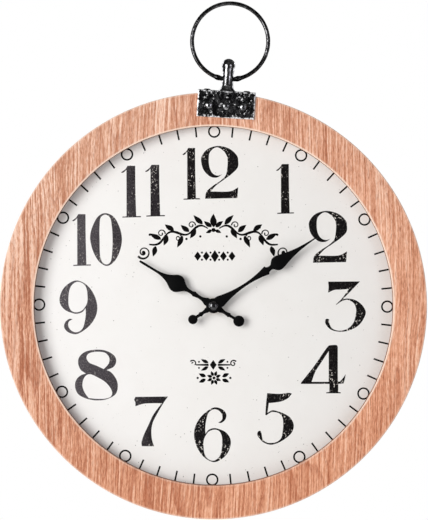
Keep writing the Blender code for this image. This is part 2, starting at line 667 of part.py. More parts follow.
# going train behind it
centre_phase = facing(64, ORIGIN, THIRD_POS, False)
third_pinion_phase = facing(8, THIRD_POS, ORIGIN, True)
third_phase = facing(60, THIRD_POS, ORIGIN, False)
seconds_pinion_phase = facing(8, ORIGIN, THIRD_POS, True)
seconds_phase = facing(60, ORIGIN, FIFTH_POS, False)
fifth_pinion_phase = facing(10, FIFTH_POS, ORIGIN, True)
fifth_phase = facing(30, FIFTH_POS, ROTOR_POS, False)
rotor_phase = facing(6, ROTOR_POS, FIFTH_POS, True)

wheel("minute_arbor", ORIGIN, hand_axis,
      [(0.0, -40.2), (ARBOR_TIP_R, -40.2), (ARBOR_TIP_R, -36.5), (ARBOR_R, -36.5),
       (ARBOR_R, -14.0), (0.0, -14.0)],
      [(10, MOTION_MOD, cannon_phase, -17.1, -16.3)], STEEL)
add("centre_wheel", plate(gear_outline(64, TRAIN_MOD, ORIGIN, centre_phase),
                          [circle(ARBOR_R + GAP, 14)], -14.8, -14.1), WHITE_POM,
    parent=hand_axis, smooth=False)
wheel("hour_wheel", ORIGIN, hour_axis,
      [(0.0, -35.9), (PIPE_R, -35.9), (PIPE_R, -17.8), (0.0, -17.8)],
      [(32, MOTION_MOD, hour_phase, -18.6, -17.8)], WHITE_POM, bore=(PIPE_BORE_R, -45.0, -10.0))
wheel("minute_wheel", MINUTE_WHEEL_POS, minute_wheel_axis,
      [(0.0, -19.8), (0.6, -19.8), (0.6, -16.2), (0.0, -16.2)],
      [(30, MOTION_MOD, minute_wheel_phase, -17.1, -16.3),
       (8, MOTION_MOD, minute_pinion_phase, -18.8, -17.0)], WHITE_POM)
add("setting_pinion", plate(gear_outline(10, MOTION_MOD, SETTING_POS, setting_phase),
                            [circle(0.8 + GAP, 12, SETTING_POS)], -17.2, -16.2), WHITE_POM,
    parent=setting_axis, smooth=False)
knob = add("setting_knob", turned([
    (0.0, -19.8), (0.8, -19.8), (0.8, -5.1), (5.0, -5.1), (5.5, -4.6), (5.5, -2.6), (5.0, -2.1),
    (0.0, -2.1)], 14, SETTING_POS), BLACK_ABS, parent=setting_axis)
wheel("third_wheel", THIRD_POS, third_axis,
      [(0.0, -14.8), (0.45, -14.8), (0.45, -6.9), (0.0, -6.9)],
      [(8, TRAIN_MOD, third_pinion_phase, -14.8, -13.9),
       (60, THIRD_MOD, third_phase, -13.6, -12.9)], WHITE_POM)
wheel("seconds_wheel", ORIGIN, seconds_axis,
      [(0.0, -13.7), (0.5, -13.7), (0.5, -6.9), (0.0, -6.9)],
      [(8, THIRD_MOD, seconds_pinion_phase, -13.7, -12.8),
       (60, TRAIN_MOD, seconds_phase, -12.4, -11.7)], WHITE_POM)
wheel("fifth_wheel", FIFTH_POS, fifth_axis,
      [(0.0, -14.8), (0.35, -14.8), (0.35, -6.9), (0.0, -6.9)],
      [(10, TRAIN_MOD, fifth_pinion_phase, -12.5, -11.6),
       (30, ROTOR_MOD, fifth_phase, -11.2, -10.5)], WHITE_POM)
wheel("rotor_pinion", ROTOR_POS, rotor_axis,
      [(0.0, -14.8), (0.4, -14.8), (0.4, -6.9), (0.0, -6.9)],
      [(6, ROTOR_MOD, rotor_phase, -11.4, -10.3)], WHITE_POM)
add("rotor_magnet", tube(3.0, 0.4 + GAP, -10.0, -7.8, 20, ROTOR_POS), FERRITE, parent=rotor_axis)

# ------------------------------------------------------------------ hands


def hand_outline(blade, hub_r, tail, ball_at, ball_r, neck):
    """Half of the outline from the tip to the ball of the tail, then its mirror.
    blade and tail: (distance, half width) from the tip inwards and from the hub outwards."""
    side = [(w, d) for d, w in blade]
    w_in = blade[-1][1]
    w_tail = tail[0][1]
    a0, a1 = math.acos(w_in / hub_r), -math.acos(w_tail / hub_r)
    for i in range(9):
        a = a0 + (a1 - a0) * i / 8
        side.append((hub_r * math.cos(a), hub_r * math.sin(a)))
    side += [(w, -d) for d, w in tail]
    b0 = math.acos(neck / ball_r)
    for i in range(9):
        b = b0 + (-math.pi / 2 - b0) * i / 8
        side.append((ball_r * math.cos(b), -ball_at + ball_r * math.sin(b)))
    mirror = [(-x, z) for x, z in reversed(side[:-1])]
    out = [(side[-1][0], side[-1][1])]
    return side[:-1] + out + mirror


def point_hand(bm, degrees):
    centre = world(0, 0, 0)
    bmesh.ops.transform(bm, matrix=Matrix.Translation(centre) @ Matrix.Rotation(
        math.radians(degrees), 4, 'Y') @ Matrix.Translation(-centre), verts=bm.verts)
    return bm


# (distance from the axis, half width): tapering tip, spade, neck, collar, stem
minute_blade = [(MINUTE_LEN, 0.6), (110.0, 0.85), (105.0, 1.15), (100.0, 1.6), (96.0, 2.05),
                (90.0, 3.1), (84.0, 4.5), (79.5, 5.8), (76.6, 6.6), (73.8, 6.95), (71.4, 6.7),
                (69.5, 5.5), (68.0, 3.9), (66.6, 2.5), (65.0, 2.15), (63.0, 2.4), (61.6, 3.2),
                (61.0, 4.5), (57.0, 3.6), (54.0, 2.95), (48.0, 2.1), (43.0, 1.65), (37.0, 1.45),
                (30.0, 1.7), (24.0, 2.3), (18.0, 3.2), (12.5, 4.4), (8.2, 5.6)]
minute_tail = [(8.2, 2.5), (10.2, 1.75), (12.2, 1.5), (15.0, 2.35), (15.8, 1.6), (17.6, 1.4),
               (19.2, 1.5)]
hour_blade = [(HOUR_LEN, 0.9), (81.0, 1.15), (63.0, 1.2), (59.0, 1.5), (56.0, 2.15),
              (53.0, 2.95), (50.0, 4.2), (47.5, 5.7), (45.2, 7.2), (43.2, 8.1), (41.0, 8.45),
              (38.8, 8.15), (36.6, 7.0), (34.8, 5.5), (33.0, 3.9), (31.0, 2.6), (28.6, 1.85),
              (26.0, 1.65), (23.6, 1.8), (22.7, 2.1), (22.0, 2.6), (18.0, 1.8), (15.0, 1.6),
              (12.0, 2.05), (10.0, 2.8), (8.2, 3.8)]
hour_tail = [(8.2, 2.7), (10.2, 1.9), (12.2, 1.55), (14.5, 1.7), (17.4, 2.3), (18.2, 1.6),
             (20.5, 1.25), (22.9, 1.35)]

add("minute_hand", point_hand(plate(hand_outline(minute_blade, 7.0, minute_tail, 23.6, 4.5, 1.5),
                                    [circle(3.3 + GAP, 20)], *MINUTE_Y), MINUTE_ANGLE),
    HAND_BLACK, parent=hand_axis, smooth=False)
add("minute_hand_bush", turned([(3.3, -38.3), (3.3, -37.0), (4.6, -37.0), (4.6, -36.6),
                                (ARBOR_TIP_R + GAP, -36.6), (ARBOR_TIP_R + GAP, -38.3)], 14),
    HAND_BLACK, parent=hand_axis)
dome = [(0.0, -41.3)]
for i in range(1, 4):
    a = i / 4 * math.pi / 2
    dome.append((4.3 * math.sin(a), -39.3 - 2.0 * math.cos(a)))
dome += [(4.3, -39.3), (4.3, -38.6), (ARBOR_TIP_R + GAP, -38.6), (ARBOR_TIP_R + GAP, -40.5),
         (0.0, -40.5)]
add("cap_nut", turned(dome, 16), HAND_BLACK, parent=hand_axis)
add("hour_hand", point_hand(plate(hand_outline(hour_blade, 7.2, hour_tail, 28.2, 5.3, 1.35),
                                  [circle(3.6 + GAP, 20)], *HOUR_Y), HOUR_ANGLE),
    HAND_BLACK, parent=hour_axis, smooth=False)
add("hour_hand_bush", turned([(3.6, -35.8), (3.6, -34.4), (4.8, -34.4), (4.8, -34.0),
                              (PIPE_R + GAP, -34.0), (PIPE_R + GAP, -35.8)], 14),
    HAND_BLACK, parent=hour_axis)
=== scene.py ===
import math

import bpy
import bmesh
import numpy as np
from mathutils import Matrix, Vector, noise
from mathutils.geometry import tessellate_polygon


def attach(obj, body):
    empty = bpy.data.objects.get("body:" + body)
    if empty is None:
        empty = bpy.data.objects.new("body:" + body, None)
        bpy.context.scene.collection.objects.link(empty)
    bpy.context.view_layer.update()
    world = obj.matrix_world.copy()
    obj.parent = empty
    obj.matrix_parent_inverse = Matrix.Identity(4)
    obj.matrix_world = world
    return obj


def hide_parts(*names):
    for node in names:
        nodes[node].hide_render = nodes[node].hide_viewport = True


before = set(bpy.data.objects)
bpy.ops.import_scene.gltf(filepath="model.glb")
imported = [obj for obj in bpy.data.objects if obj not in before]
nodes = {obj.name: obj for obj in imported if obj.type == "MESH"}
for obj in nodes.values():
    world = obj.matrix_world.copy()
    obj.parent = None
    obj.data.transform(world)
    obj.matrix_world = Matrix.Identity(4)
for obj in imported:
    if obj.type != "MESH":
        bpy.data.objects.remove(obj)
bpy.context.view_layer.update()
rng = np.random.default_rng(1879)

# ---------------------------------------------------------------- measures, in millimetres
MM = 0.001
CZ = -196.5                       # clock centre below the wall screw
FRAME_R, FACE_INNER_R, RIM_INNER_R = 203.0, 170.9, 182.0
FRONT_Y, FACE_BACK_Y, RIM_FRONT_Y = -42.0, -29.3, -29.0
PAPER_Y = -28.7
BOARD_SCREW_R = 176.2
BRACKET_TURN = math.radians(3.6)
RIVET_PITCH, RIVET_AT = 16.3, 190.3
POST_Y = -24.0
RING_LOW, BALL_AT = 216.7, 230.0
SETTING_AT = (-18.32, 7.59)
MINUTE_ANGLE, HOUR_ANGLE = 56.4, 301.2

CENTRE = Vector((0.0, 0.0, CZ * MM))
TURN = Matrix.Translation(CENTRE) @ Matrix.Rotation(BRACKET_TURN, 4, 'Y') @ Matrix.Translation(-CENTRE)


def W(x, y, z):
    return Vector((x * MM, y * MM, (z + CZ) * MM))


def srgb(r, g, b):
    out = []
    for c in (r, g, b):
        c /= 255.0
        out.append(c / 12.92 if c <= 0.04045 else ((c + 0.055) / 1.055) ** 2.4)
    return (out[0], out[1], out[2], 1.0)


# ---------------------------------------------------------------- material helpers
class Mat:
    def __init__(self, name, rough=0.5, metal=0.0, color=(0.8, 0.8, 0.8, 1.0)):
        self.m = bpy.data.materials.new(name)
        self.m.use_nodes = True
        self.nt = self.m.node_tree
        self.shader = self.nt.nodes["Principled BSDF"]
        self.shader.inputs["Roughness"].default_value = rough
        self.shader.inputs["Metallic"].default_value = metal
        self.shader.inputs["Base Color"].default_value = color
        self.co = self.nt.nodes.new("ShaderNodeTexCoord").outputs["Object"]

    def node(self, kind, **props):
        n = self.nt.nodes.new(kind)
        for k, v in props.items():
            setattr(n, k, v)
        return n

    def put(self, socket, value):
        if isinstance(value, bpy.types.NodeSocket):
            self.nt.links.new(value, socket)
        else:
            socket.default_value = value

    def set(self, name, value):
        self.put(self.shader.inputs[name], value)

    def mapped(self, scale=(1, 1, 1), loc=(0, 0, 0), rot=(0, 0, 0), co=None):
        n = self.node("ShaderNodeMapping")
        self.put(n.inputs["Vector"], co if co is not None else self.co)
        n.inputs["Location"].default_value = loc
        n.inputs["Rotation"].default_value = rot
        n.inputs["Scale"].default_value = scale
        return n.outputs["Vector"]

    def noise(self, co, scale=1.0, detail=2.0, rough=0.5, distort=0.0, kind='FBM'):
        n = self.node("ShaderNodeTexNoise")
        self.put(n.inputs["Vector"], co)
        n.inputs["Scale"].default_value = scale
        n.inputs["Detail"].default_value = detail
        n.inputs["Roughness"].default_value = rough
        n.inputs["Distortion"].default_value = distort
        return n.outputs["Fac"]

    def voronoi(self, co, scale=1.0, feature='F1', out="Distance", rand=1.0):
        n = self.node("ShaderNodeTexVoronoi", feature=feature)
        self.put(n.inputs["Vector"], co)
        n.inputs["Scale"].default_value = scale
        n.inputs["Randomness"].default_value = rand
        return n.outputs[out]

    def ramp(self, fac, stops, mode='LINEAR'):
        n = self.node("ShaderNodeValToRGB")
        self.put(n.inputs["Fac"], fac)
        r = n.color_ramp
        r.interpolation = mode
        while len(r.elements) < len(stops):
            r.elements.new(0.5)
        for e, (p, c) in zip(r.elements, stops):
            e.position = p
            e.color = c if len(c) == 4 else (c[0], c[1], c[2], 1.0)
        return n.outputs["Color"]

    def span(self, fac, a, b, lo=0.0, hi=1.0, smooth=False):
        n = self.node("ShaderNodeMapRange", interpolation_type='SMOOTHSTEP' if smooth else 'LINEAR')
        self.put(n.inputs["Value"], fac)
        n.inputs["From Min"].default_value = a
        n.inputs["From Max"].default_value = b
        n.inputs["To Min"].default_value = lo
        n.inputs["To Max"].default_value = hi
        n.clamp = True
        return n.outputs["Result"]

    def math(self, op, a, b=0.0, c=0.0):
        n = self.node("ShaderNodeMath", operation=op)
        self.put(n.inputs[0], a)
        self.put(n.inputs[1], b)
        self.put(n.inputs[2], c)
        return n.outputs[0]

    def mix(self, fac, a, b, mode='MIX'):
        n = self.node("ShaderNodeMix", data_type='RGBA', blend_type=mode)
        self.put(n.inputs[0], fac)
        self.put(n.inputs[6], a)
        self.put(n.inputs[7], b)
        return n.outputs[2]

    def axis(self, which, co=None):
        n = self.node("ShaderNodeSeparateXYZ")
        self.put(n.inputs[0], co if co is not None else self.co)
        return n.outputs[which]

    def join(self, x, y, z):
        n = self.node("ShaderNodeCombineXYZ")
        self.put(n.inputs[0], x)
        self.put(n.inputs[1], y)
        self.put(n.inputs[2], z)
        return n.outputs[0]

    def attr(self, name):
        return self.node("ShaderNodeAttribute", attribute_name=name).outputs["Fac"]

    def bump(self, height, distance, strength=1.0, normal=None):
        n = self.node("ShaderNodeBump")
        n.inputs["Strength"].default_value = strength
        n.inputs["Distance"].default_value = distance
        self.put(n.inputs["Height"], height)
        if normal is not None:
            self.put(n.inputs["Normal"], normal)
        return n.outputs["Normal"]


def v4(c):
    return (c[0], c[1], c[2], 1.0)


# ---------------------------------------------------------------- materials
def veneer(name, band=False, tint=None):
    """Oak veneer: upright streaks, darker growth bands and short open pores."""
    w = Mat(name, rough=0.56)
    if band:                                     # strip bent round the edge, grain along it
        x, y, z = (w.axis(i) for i in range(3))
        ang = w.math('ARCTAN2', x, w.math('SUBTRACT', z, CZ * MM))
        co = w.join(y, 0.0, w.math('MULTIPLY', ang, FRAME_R * MM))
    else:
        co = w.co
    sway = w.noise(co, 7.0, 1.0, 0.4)
    ripple = w.noise(w.mapped((1.0, 1.0, 0.6), (0.4, 0.2, 0.8), co=co), 46.0, 1.0, 0.4)
    shift = w.math('ADD', w.math('MULTIPLY', w.math('SUBTRACT', sway, 0.5), 0.016),
                   w.math('MULTIPLY', w.math('SUBTRACT', ripple, 0.5), 0.0022))
    x, y, z = (w.axis(i, co) for i in range(3))
    base = w.join(w.math('ADD', x, shift), y, z)
    broad = w.noise(w.mapped((1.0, 1.0, 0.030), co=base), 60.0, 1.5, 0.5)
    streak = w.noise(w.mapped((1.0, 1.0, 0.012), (0.3, 0.1, 0.7), co=base), 480.0, 3.0, 0.62)
    fibre = w.noise(w.mapped((1.0, 1.0, 0.018), (0.9, 0.4, 0.2), co=base), 940.0, 3.0, 0.70)
    fleck = w.noise(w.mapped((1.0, 1.0, 0.20), (0.2, 0.6, 0.5), co=base), 900.0, 3.0, 0.75)
    mixv = w.math('ADD', w.math('ADD', w.math('MULTIPLY', broad, 0.07), w.math('MULTIPLY', fleck, 0.27)),
                  w.math('ADD', w.math('MULTIPLY', streak, 0.25), w.math('MULTIPLY', fibre, 0.41)))
    gain = w.span(w.axis(0), -0.185, -0.110, 2.0, 1.38)     # the sheet's left side is more figured
    mixv = w.math('ADD', w.math('MULTIPLY', w.math('SUBTRACT', mixv, 0.5), gain), 0.5)
    colour = w.ramp(mixv, [(0.400, srgb(184, 117, 85)), (0.455, srgb(210, 148, 116)),
                           (0.500, srgb(227, 168, 137)), (0.545, srgb(240, 186, 156)),
                           (0.600, srgb(252, 212, 187))])
    # growth lines: level lines of a tall soft field, so they run upright and close into arches
    field = w.noise(w.mapped((1.0, 1.0, 0.11), (2.1, 0.0, 3.3), co=base), 15.0, 1.0, 0.4)
    phase = w.math('FRACT', w.math('MULTIPLY', w.math('ADD', field, w.math('MULTIPLY', streak, 0.012)), 34.0))
    late = w.math('MULTIPLY', w.span(phase, 0.50, 0.92, 0.0, 1.0, smooth=True), w.span(phase, 0.94, 1.0, 1.0, 0.0))
    zone = w.span(w.noise(w.mapped((1.0, 1.0, 0.25), (0.7, 0.0, 1.3), co=co), 13.0, 1.0, 0.5), 0.42, 0.62, 0.14, 0.62)
    zone = w.math('MULTIPLY', zone, w.span(w.axis(0), -0.180, -0.120, 1.15, 1.0))
    colour = w.mix(w.math('MULTIPLY', late, zone), colour, srgb(184, 110, 76))
    pore = w.noise(w.mapped((1.0, 1.0, 0.15), (5.0, 1.0, 2.0), co=base), 1050.0, 1.5, 0.5)
    where = w.math('ADD', w.math('MULTIPLY', late, 0.65), 0.35)
    pore = w.math('MULTIPLY', w.span(pore, 0.55, 0.62, 0.0, 1.0, smooth=True), where)
    colour = w.mix(w.math('MULTIPLY', pore, 0.45), colour, srgb(158, 92, 62))
    # redder and darker at the left, paler and bluer towards the top and towards the top-left corner
    side_ = w.ramp(w.span(w.axis(0), -0.20, 0.20), [(0.0, (0.86, 0.80, 0.76)), (1.0, (1.06, 0.985, 0.92))])
    rise = w.ramp(w.span(w.math('SUBTRACT', w.axis(2), CZ * MM), -0.20, 0.20),
                  [(0.0, (0.97, 0.90, 0.85)), (1.0, (1.03, 1.10, 1.18))])
    colour = w.mix(1.0, w.mix(1.0, colour, side_, 'MULTIPLY'), rise, 'MULTIPLY')
    corner = w.math('SUBTRACT', w.math('SUBTRACT', w.axis(2), CZ * MM), w.axis(0))
    pale = w.ramp(w.span(corner, 0.19, 0.26), [(0.0, (1.0, 1.0, 1.0)), (1.0, (1.08, 1.19, 1.25))])
    colour = w.mix(1.0, colour, pale, 'MULTIPLY')
    if not band:                                 # paler edges: sanded veneer, and a painted highlight where the rounded edges catch the light
        dx = w.axis(0)
        dz = w.math('SUBTRACT', w.axis(2), CZ * MM)
        rad = w.math('SQRT', w.math('ADD', w.math('MULTIPLY', dx, dx), w.math('MULTIPLY', dz, dz)))
        # pale band at the inner edge, partly sanded wood and partly a painted highlight; weaker towards the bottom,
        # where that edge lies in shade
        inner_edge_sanded_and_highlit = w.math('MULTIPLY', w.span(rad, 0.1717, 0.1729, 0.92, 0.0), w.span(dz, -0.165, -0.090, 0.25, 1.0))
        outer_edge_sanded_and_highlit = w.span(rad, 0.2012, 0.2026, 0.0, 0.50)
        colour = w.mix(w.math('MAXIMUM', inner_edge_sanded_and_highlit, outer_edge_sanded_and_highlit), colour, srgb(253, 226, 206))
    if tint is not None:
        colour = w.mix(1.0, colour, tint, 'MULTIPLY')
    w.set("Base Color", colour)
    w.set("Roughness", w.span(mixv, 0.36, 0.66, 0.64, 0.50))
    height = w.math('SUBTRACT', w.math('MULTIPLY', fibre, 0.6), w.math('MULTIPLY', pore, 1.0))
    w.set("Normal", w.bump(height, 0.00030, 0.7))
    w.shader.inputs["Specular IOR Level"].default_value = 0.3
    return w.m


def fibreboard(name):
    w = Mat(name, rough=0.85)
    big = w.noise(w.co, 26.0, 3.0, 0.6)
    chip = w.noise(w.co, 900.0, 3.0, 0.7)
    fleck = w.span(w.noise(w.mapped((1, 1, 1), (3, 1, 2)), 1700.0, 1.0), 0.62, 0.72)
    c = w.ramp(w.math('ADD', w.math('MULTIPLY', big, 0.4), w.math('MULTIPLY', chip, 0.6)),
               [(0.36, srgb(140, 104, 74)), (0.5, srgb(166, 127, 93)), (0.64, srgb(190, 152, 115))])
    w.set("Base Color", w.mix(w.math('MULTIPLY', fleck, 0.5), c, srgb(104, 74, 52)))
    w.set("Normal", w.bump(chip, 0.00018, 0.5))
    w.set("Roughness", w.span(chip, 0.3, 0.7, 0.8, 0.92))
    return w.m


def hardboard(name):
    w = Mat(name, rough=0.8)
    big = w.noise(w.co, 18.0, 4.0, 0.6)
    weave = w.node("ShaderNodeTexVoronoi", feature='F1')
    w.put(weave.inputs["Vector"], w.co)
    weave.inputs["Scale"].default_value = 620.0
    weave.inputs["Randomness"].default_value = 0.35
    fibre = w.noise(w.mapped((1, 1, 0.4)), 1300.0, 3.0, 0.7)
    c = w.ramp(w.math('ADD', w.math('MULTIPLY', big, 0.22), w.math('MULTIPLY', fibre, 0.78)),
               [(0.38, srgb(128, 92, 64)), (0.5, srgb(152, 112, 80)), (0.62, srgb(176, 136, 102))])
    w.set("Base Color", c)
    h = w.math('ADD', w.math('MULTIPLY', weave.outputs["Distance"], 0.8), w.math('MULTIPLY', fibre, 0.4))
    w.set("Normal", w.bump(h, 0.00025, 0.5))
    w.set("Roughness", w.span(fibre, 0.3, 0.7, 0.72, 0.88))
    return w.m


def paper(name):
    """Printed dial sheet: cream white with a painted light falloff from left to right, faint fibre mottling, a scatter
    of grey specks.
    """
    w = Mat(name, rough=0.62)
    x = w.axis(0)
    # cream base, brighter at the left and darker at the right: painted light falloff from the lamp at the left
    cream_with_light_falloff = w.ramp(w.span(x, -0.17, 0.17), [(0.0, (0.915, 0.900, 0.880)), (0.5, (0.885, 0.866, 0.835)),
                                            (1.0, (0.845, 0.828, 0.800))])
    mottle = w.noise(w.co, 34.0, 4.0, 0.55)
    fine = w.noise(w.co, 1400.0, 2.0, 0.6)
    shade = w.math('ADD', w.math('MULTIPLY', mottle, 0.7), w.math('MULTIPLY', fine, 0.3))
    c = w.mix(w.span(shade, 0.35, 0.65, 0.10, 0.0), cream_with_light_falloff, srgb(214, 206, 196))
    # specks: small dots in some cells only, gathered in patches
    patch = w.span(w.noise(w.mapped((1, 0.0, 1), (0.4, 0, 0.9)), 26.0, 2.0, 0.6), 0.50, 0.66, 0.0, 1.0)
    flat = w.mapped((1, 0.0, 1))
    warp = w.noise(flat, 900.0, 2.0, 0.6)
    for scale, size, cut, tint in ((520.0, 0.17, 0.80, 0.55), (300.0, 0.14, 0.88, 0.45)):
        vor = w.node("ShaderNodeTexVoronoi", feature='F1')
        w.put(vor.inputs["Vector"], w.mapped((1, 1, 1), (scale * 0.01, 0, 0), co=flat))
        vor.inputs["Scale"].default_value = scale
        near = w.math('ADD', vor.outputs["Distance"], w.math('MULTIPLY', w.math('SUBTRACT', warp, 0.5), 0.35))
        dot = w.span(near, size * 0.55, size, 1.0, 0.0, smooth=True)
        lot = w.axis(0, vor.outputs["Color"])
        chosen = w.span(lot, cut, cut + 0.05, 0.0, 1.0)
        amount = w.math('MULTIPLY', w.math('MULTIPLY', dot, chosen),
                        w.math('ADD', w.math('MULTIPLY', patch, 0.9), 0.06))
        c = w.mix(w.math('MULTIPLY', amount, tint), c, srgb(120, 114, 110))
    w.set("Base Color", c)
    w.set("Roughness", w.span(fine, 0.3, 0.7, 0.55, 0.68))
    w.set("Normal", w.bump(fine, 0.00002, 0.25))
    w.shader.inputs["Specular IOR Level"].default_value = 0.3
    return w.m


def ink(name, worn=True, grey=0.0):
    """Printed black: charcoal at the left, near black at the right, rubbed away in flecks."""
    w = Mat(name, rough=0.6)
    x = w.axis(0)
    soft = w.noise(w.mapped((1, 0.0, 1)), 70.0, 3.0, 0.6)
    tone = w.ramp(w.math('ADD', w.span(x, -0.14, 0.06), w.math('MULTIPLY', w.math('SUBTRACT', soft, 0.5), 0.5)),
                  [(0.0, srgb(76, 72, 76)), (0.22, srgb(62, 58, 61)), (0.42, srgb(34, 30, 33)), (0.62, srgb(14, 11, 12)),
                   (1.0, srgb(8, 6, 7))] if worn else
                  [(0.0, srgb(14, 12, 13)), (1.0, srgb(7, 6, 6))])
    c = tone
    if worn:
        flat = w.mapped((1, 0.0, 1), (0.13, 0, 0.41))
        rub = w.noise(w.mapped((1, 0.0, 0.8), (0.7, 0, 0.1)), 560.0, 3.0, 0.62, 0.3)
        area_ = w.noise(flat, 48.0, 2.0, 0.5)
        amount = w.math('MULTIPLY', w.span(rub, 0.585, 0.615, 0.0, 1.0, smooth=True),
                        w.math('MULTIPLY', w.span(area_, 0.49, 0.57, 0.05, 1.0), w.span(x, -0.10, -0.05, 0.40, 1.0)))
        c = w.mix(w.math('MULTIPLY', amount, 0.95), c, srgb(226, 220, 212))
        grain = w.noise(flat, 760.0, 3.0, 0.7)
        left = w.span(x, -0.13, -0.05, 0.50, 0.07)
        c = w.mix(w.math('MULTIPLY', w.span(grain, 0.48, 0.64), left), c, srgb(134, 128, 130))
    w.set("Base Color", c)
    w.set("Roughness", w.span(soft, 0.3, 0.7, 0.6, 0.75))
    w.shader.inputs["Specular IOR Level"].default_value = 0.06
    return w.m


def iron(name, worn=False, lift=1.0, edge=0.16):
    """Blackened iron; the hammered strap also has bare, rubbed spots on its high places."""
    w = Mat(name, rough=0.3, metal=1.0)
    dents = w.noise(w.co, 260.0, 2.0, 0.5)
    rough = w.noise(w.mapped((1, 1, 1), (0.2, 0.5, 0.1)), 900.0, 3.0, 0.65)
    if worn:
        c = w.ramp(w.math('ADD', w.math('MULTIPLY', dents, 0.5), w.math('MULTIPLY', rough, 0.5)),
                   [(0.38, (0.006, 0.006, 0.0065)), (0.50, (0.018, 0.018, 0.019)), (0.60, (0.10, 0.10, 0.103))])
        grain = w.noise(w.mapped((1, 1, 1), (0.6, 0.1, 0.4)), 360.0, 5.0, 0.72)
        rub = w.math('ADD', w.math('MULTIPLY', w.attr("wear"), 0.24), grain)
        bare = w.span(rub, 0.592, 0.628, 0.0, 1.0, smooth=True)
        c = w.mix(bare, c, (0.97, 0.97, 0.98, 1.0))
        w.set("Roughness", w.span(bare, 0.0, 1.0, 0.32, 0.58))
        h = w.math('ADD', w.math('MULTIPLY', dents, 0.6), w.math('MULTIPLY', rough, 0.6))
        w.set("Normal", w.bump(h, 0.0005, 0.6))
    else:
        c = w.ramp(w.math('ADD', w.math('MULTIPLY', dents, 0.5), w.math('MULTIPLY', rough, 0.5)),
                   [(at, (v * lift, v * lift, v * lift * 1.03))
                    for at, v in ((0.36, 0.014), (0.50, 0.048), (0.64, 0.27))])
        w.set("Roughness", w.span(rough, 0.35, 0.65, 0.08, 0.15))
        w.shader.inputs["Specular Tint"].default_value = (edge, edge, edge * 1.03, 1.0)
        h = w.math('ADD', w.math('MULTIPLY', dents, 0.8), w.math('MULTIPLY', rough, 0.3))
        w.set("Normal", w.bump(h, 0.00016, 0.6))
    w.set("Base Color", c)
    return w.m


def hand_paint(name):
    w = Mat(name, rough=0.4)
    n = w.noise(w.co, 900.0, 3.0, 0.6)
    w.set("Base Color", w.ramp(n, [(0.3, (0.0012, 0.0012, 0.0014)), (0.7, (0.0030, 0.0030, 0.0032))]))
    w.shader.inputs["Specular IOR Level"].default_value = 0.07
    w.set("Roughness", w.span(n, 0.3, 0.7, 0.36, 0.50))
    w.set("Normal", w.bump(n, 0.00004, 0.35))
    return w.m


def plated(name, lo=(0.50, 0.51, 0.53), hi=(0.70, 0.71, 0.72), rough=(0.24, 0.42)):
    """Zinc plated or bright rolled metal with faint rolling lines and spangle."""
    w = Mat(name, rough=0.32, metal=1.0)
    spangle = w.voronoi(w.co, 260.0, out="Distance")
    lines = w.noise(w.mapped((1.0, 1.0, 0.05)), 1800.0, 2.0, 0.6)
    cloud = w.noise(w.co, 120.0, 3.0, 0.6)
    f = w.math('ADD', w.math('MULTIPLY', spangle, 0.35), w.math('ADD', w.math('MULTIPLY', lines, 0.25),
                                                                w.math('MULTIPLY', cloud, 0.45)))
    w.set("Base Color", w.ramp(f, [(0.30, v4(lo)), (0.62, v4(hi))]))
    w.set("Roughness", w.span(cloud, 0.3, 0.7, rough[0], rough[1]))
    w.set("Normal", w.bump(lines, 0.00003, 0.4))
    return w.m


def plastic(name, lo, hi, rough=(0.38, 0.52), grain=1600.0, depth=0.00004):
    """Moulded plastic with a fine spark-eroded grain and faint flow marks."""
    w = Mat(name, rough=0.45)
    g = w.noise(w.co, grain, 2.0, 0.6)
    flow = w.noise(w.mapped((1, 1, 0.3)), 60.0, 3.0, 0.55)
    w.set("Base Color", w.ramp(w.math('ADD', w.math('MULTIPLY', g, 0.4), w.math('MULTIPLY', flow, 0.6)),
                               [(0.36, v4(lo)), (0.64, v4(hi))]))
    w.set("Roughness", w.span(g, 0.3, 0.7, rough[0], rough[1]))
    w.set("Normal", w.bump(g, depth, 0.5))
    return w.m


def brass(name):
    w = Mat(name, rough=0.3, metal=1.0)
    n = w.noise(w.mapped((1.0, 6.0, 1.0)), 500.0, 3.0, 0.6)
    cloud = w.noise(w.co, 160.0, 3.0, 0.6)
    w.set("Base Color", w.ramp(cloud, [(0.32, (0.52, 0.34, 0.12)), (0.5, (0.70, 0.49, 0.20)),
                                       (0.68, (0.80, 0.60, 0.29))]))
    w.set("Roughness", w.span(cloud, 0.3, 0.7, 0.22, 0.42))
    w.set("Normal", w.bump(n, 0.00003, 0.4))
    return w.m


def copper(name):
    w = Mat(name, rough=0.3, metal=1.0)
    wave = w.node("ShaderNodeTexWave", wave_type='BANDS', bands_direction='Z')
    w.put(wave.inputs["Vector"], w.co)
    wave.inputs["Scale"].default_value = 900.0
    wave.inputs["Distortion"].default_value = 0.6
    n = w.noise(w.co, 700.0, 2.0, 0.6)
    w.set("Base Color", w.ramp(w.math('ADD', w.math('MULTIPLY', wave.outputs["Fac"], 0.6),
                                      w.math('MULTIPLY', n, 0.4)),
                               [(0.2, (0.34, 0.10, 0.04)), (0.7, (0.82, 0.36, 0.17))]))
    w.set("Normal", w.bump(wave.outputs["Fac"], 0.00008, 0.7))
    w.set("Roughness", w.span(n, 0.3, 0.7, 0.24, 0.4))
    return w.m


def pcb(name):
    w = Mat(name, rough=0.4)
    tracks = w.voronoi(w.mapped((1.0, 1.0, 1.0)), 330.0, feature='DISTANCE_TO_EDGE')
    line = w.span(tracks, 0.05, 0.09, 1.0, 0.0)
    n = w.noise(w.co, 500.0, 2.0)
    base = w.ramp(n, [(0.3, srgb(20, 88, 52)), (0.7, srgb(32, 112, 66))])
    w.set("Base Color", w.mix(w.math('MULTIPLY', line, 0.6), base, srgb(70, 146, 84)))
    w.set("Roughness", w.span(n, 0.3, 0.7, 0.32, 0.5))
    w.set("Normal", w.bump(line, 0.00003, 0.5))
    return w.m


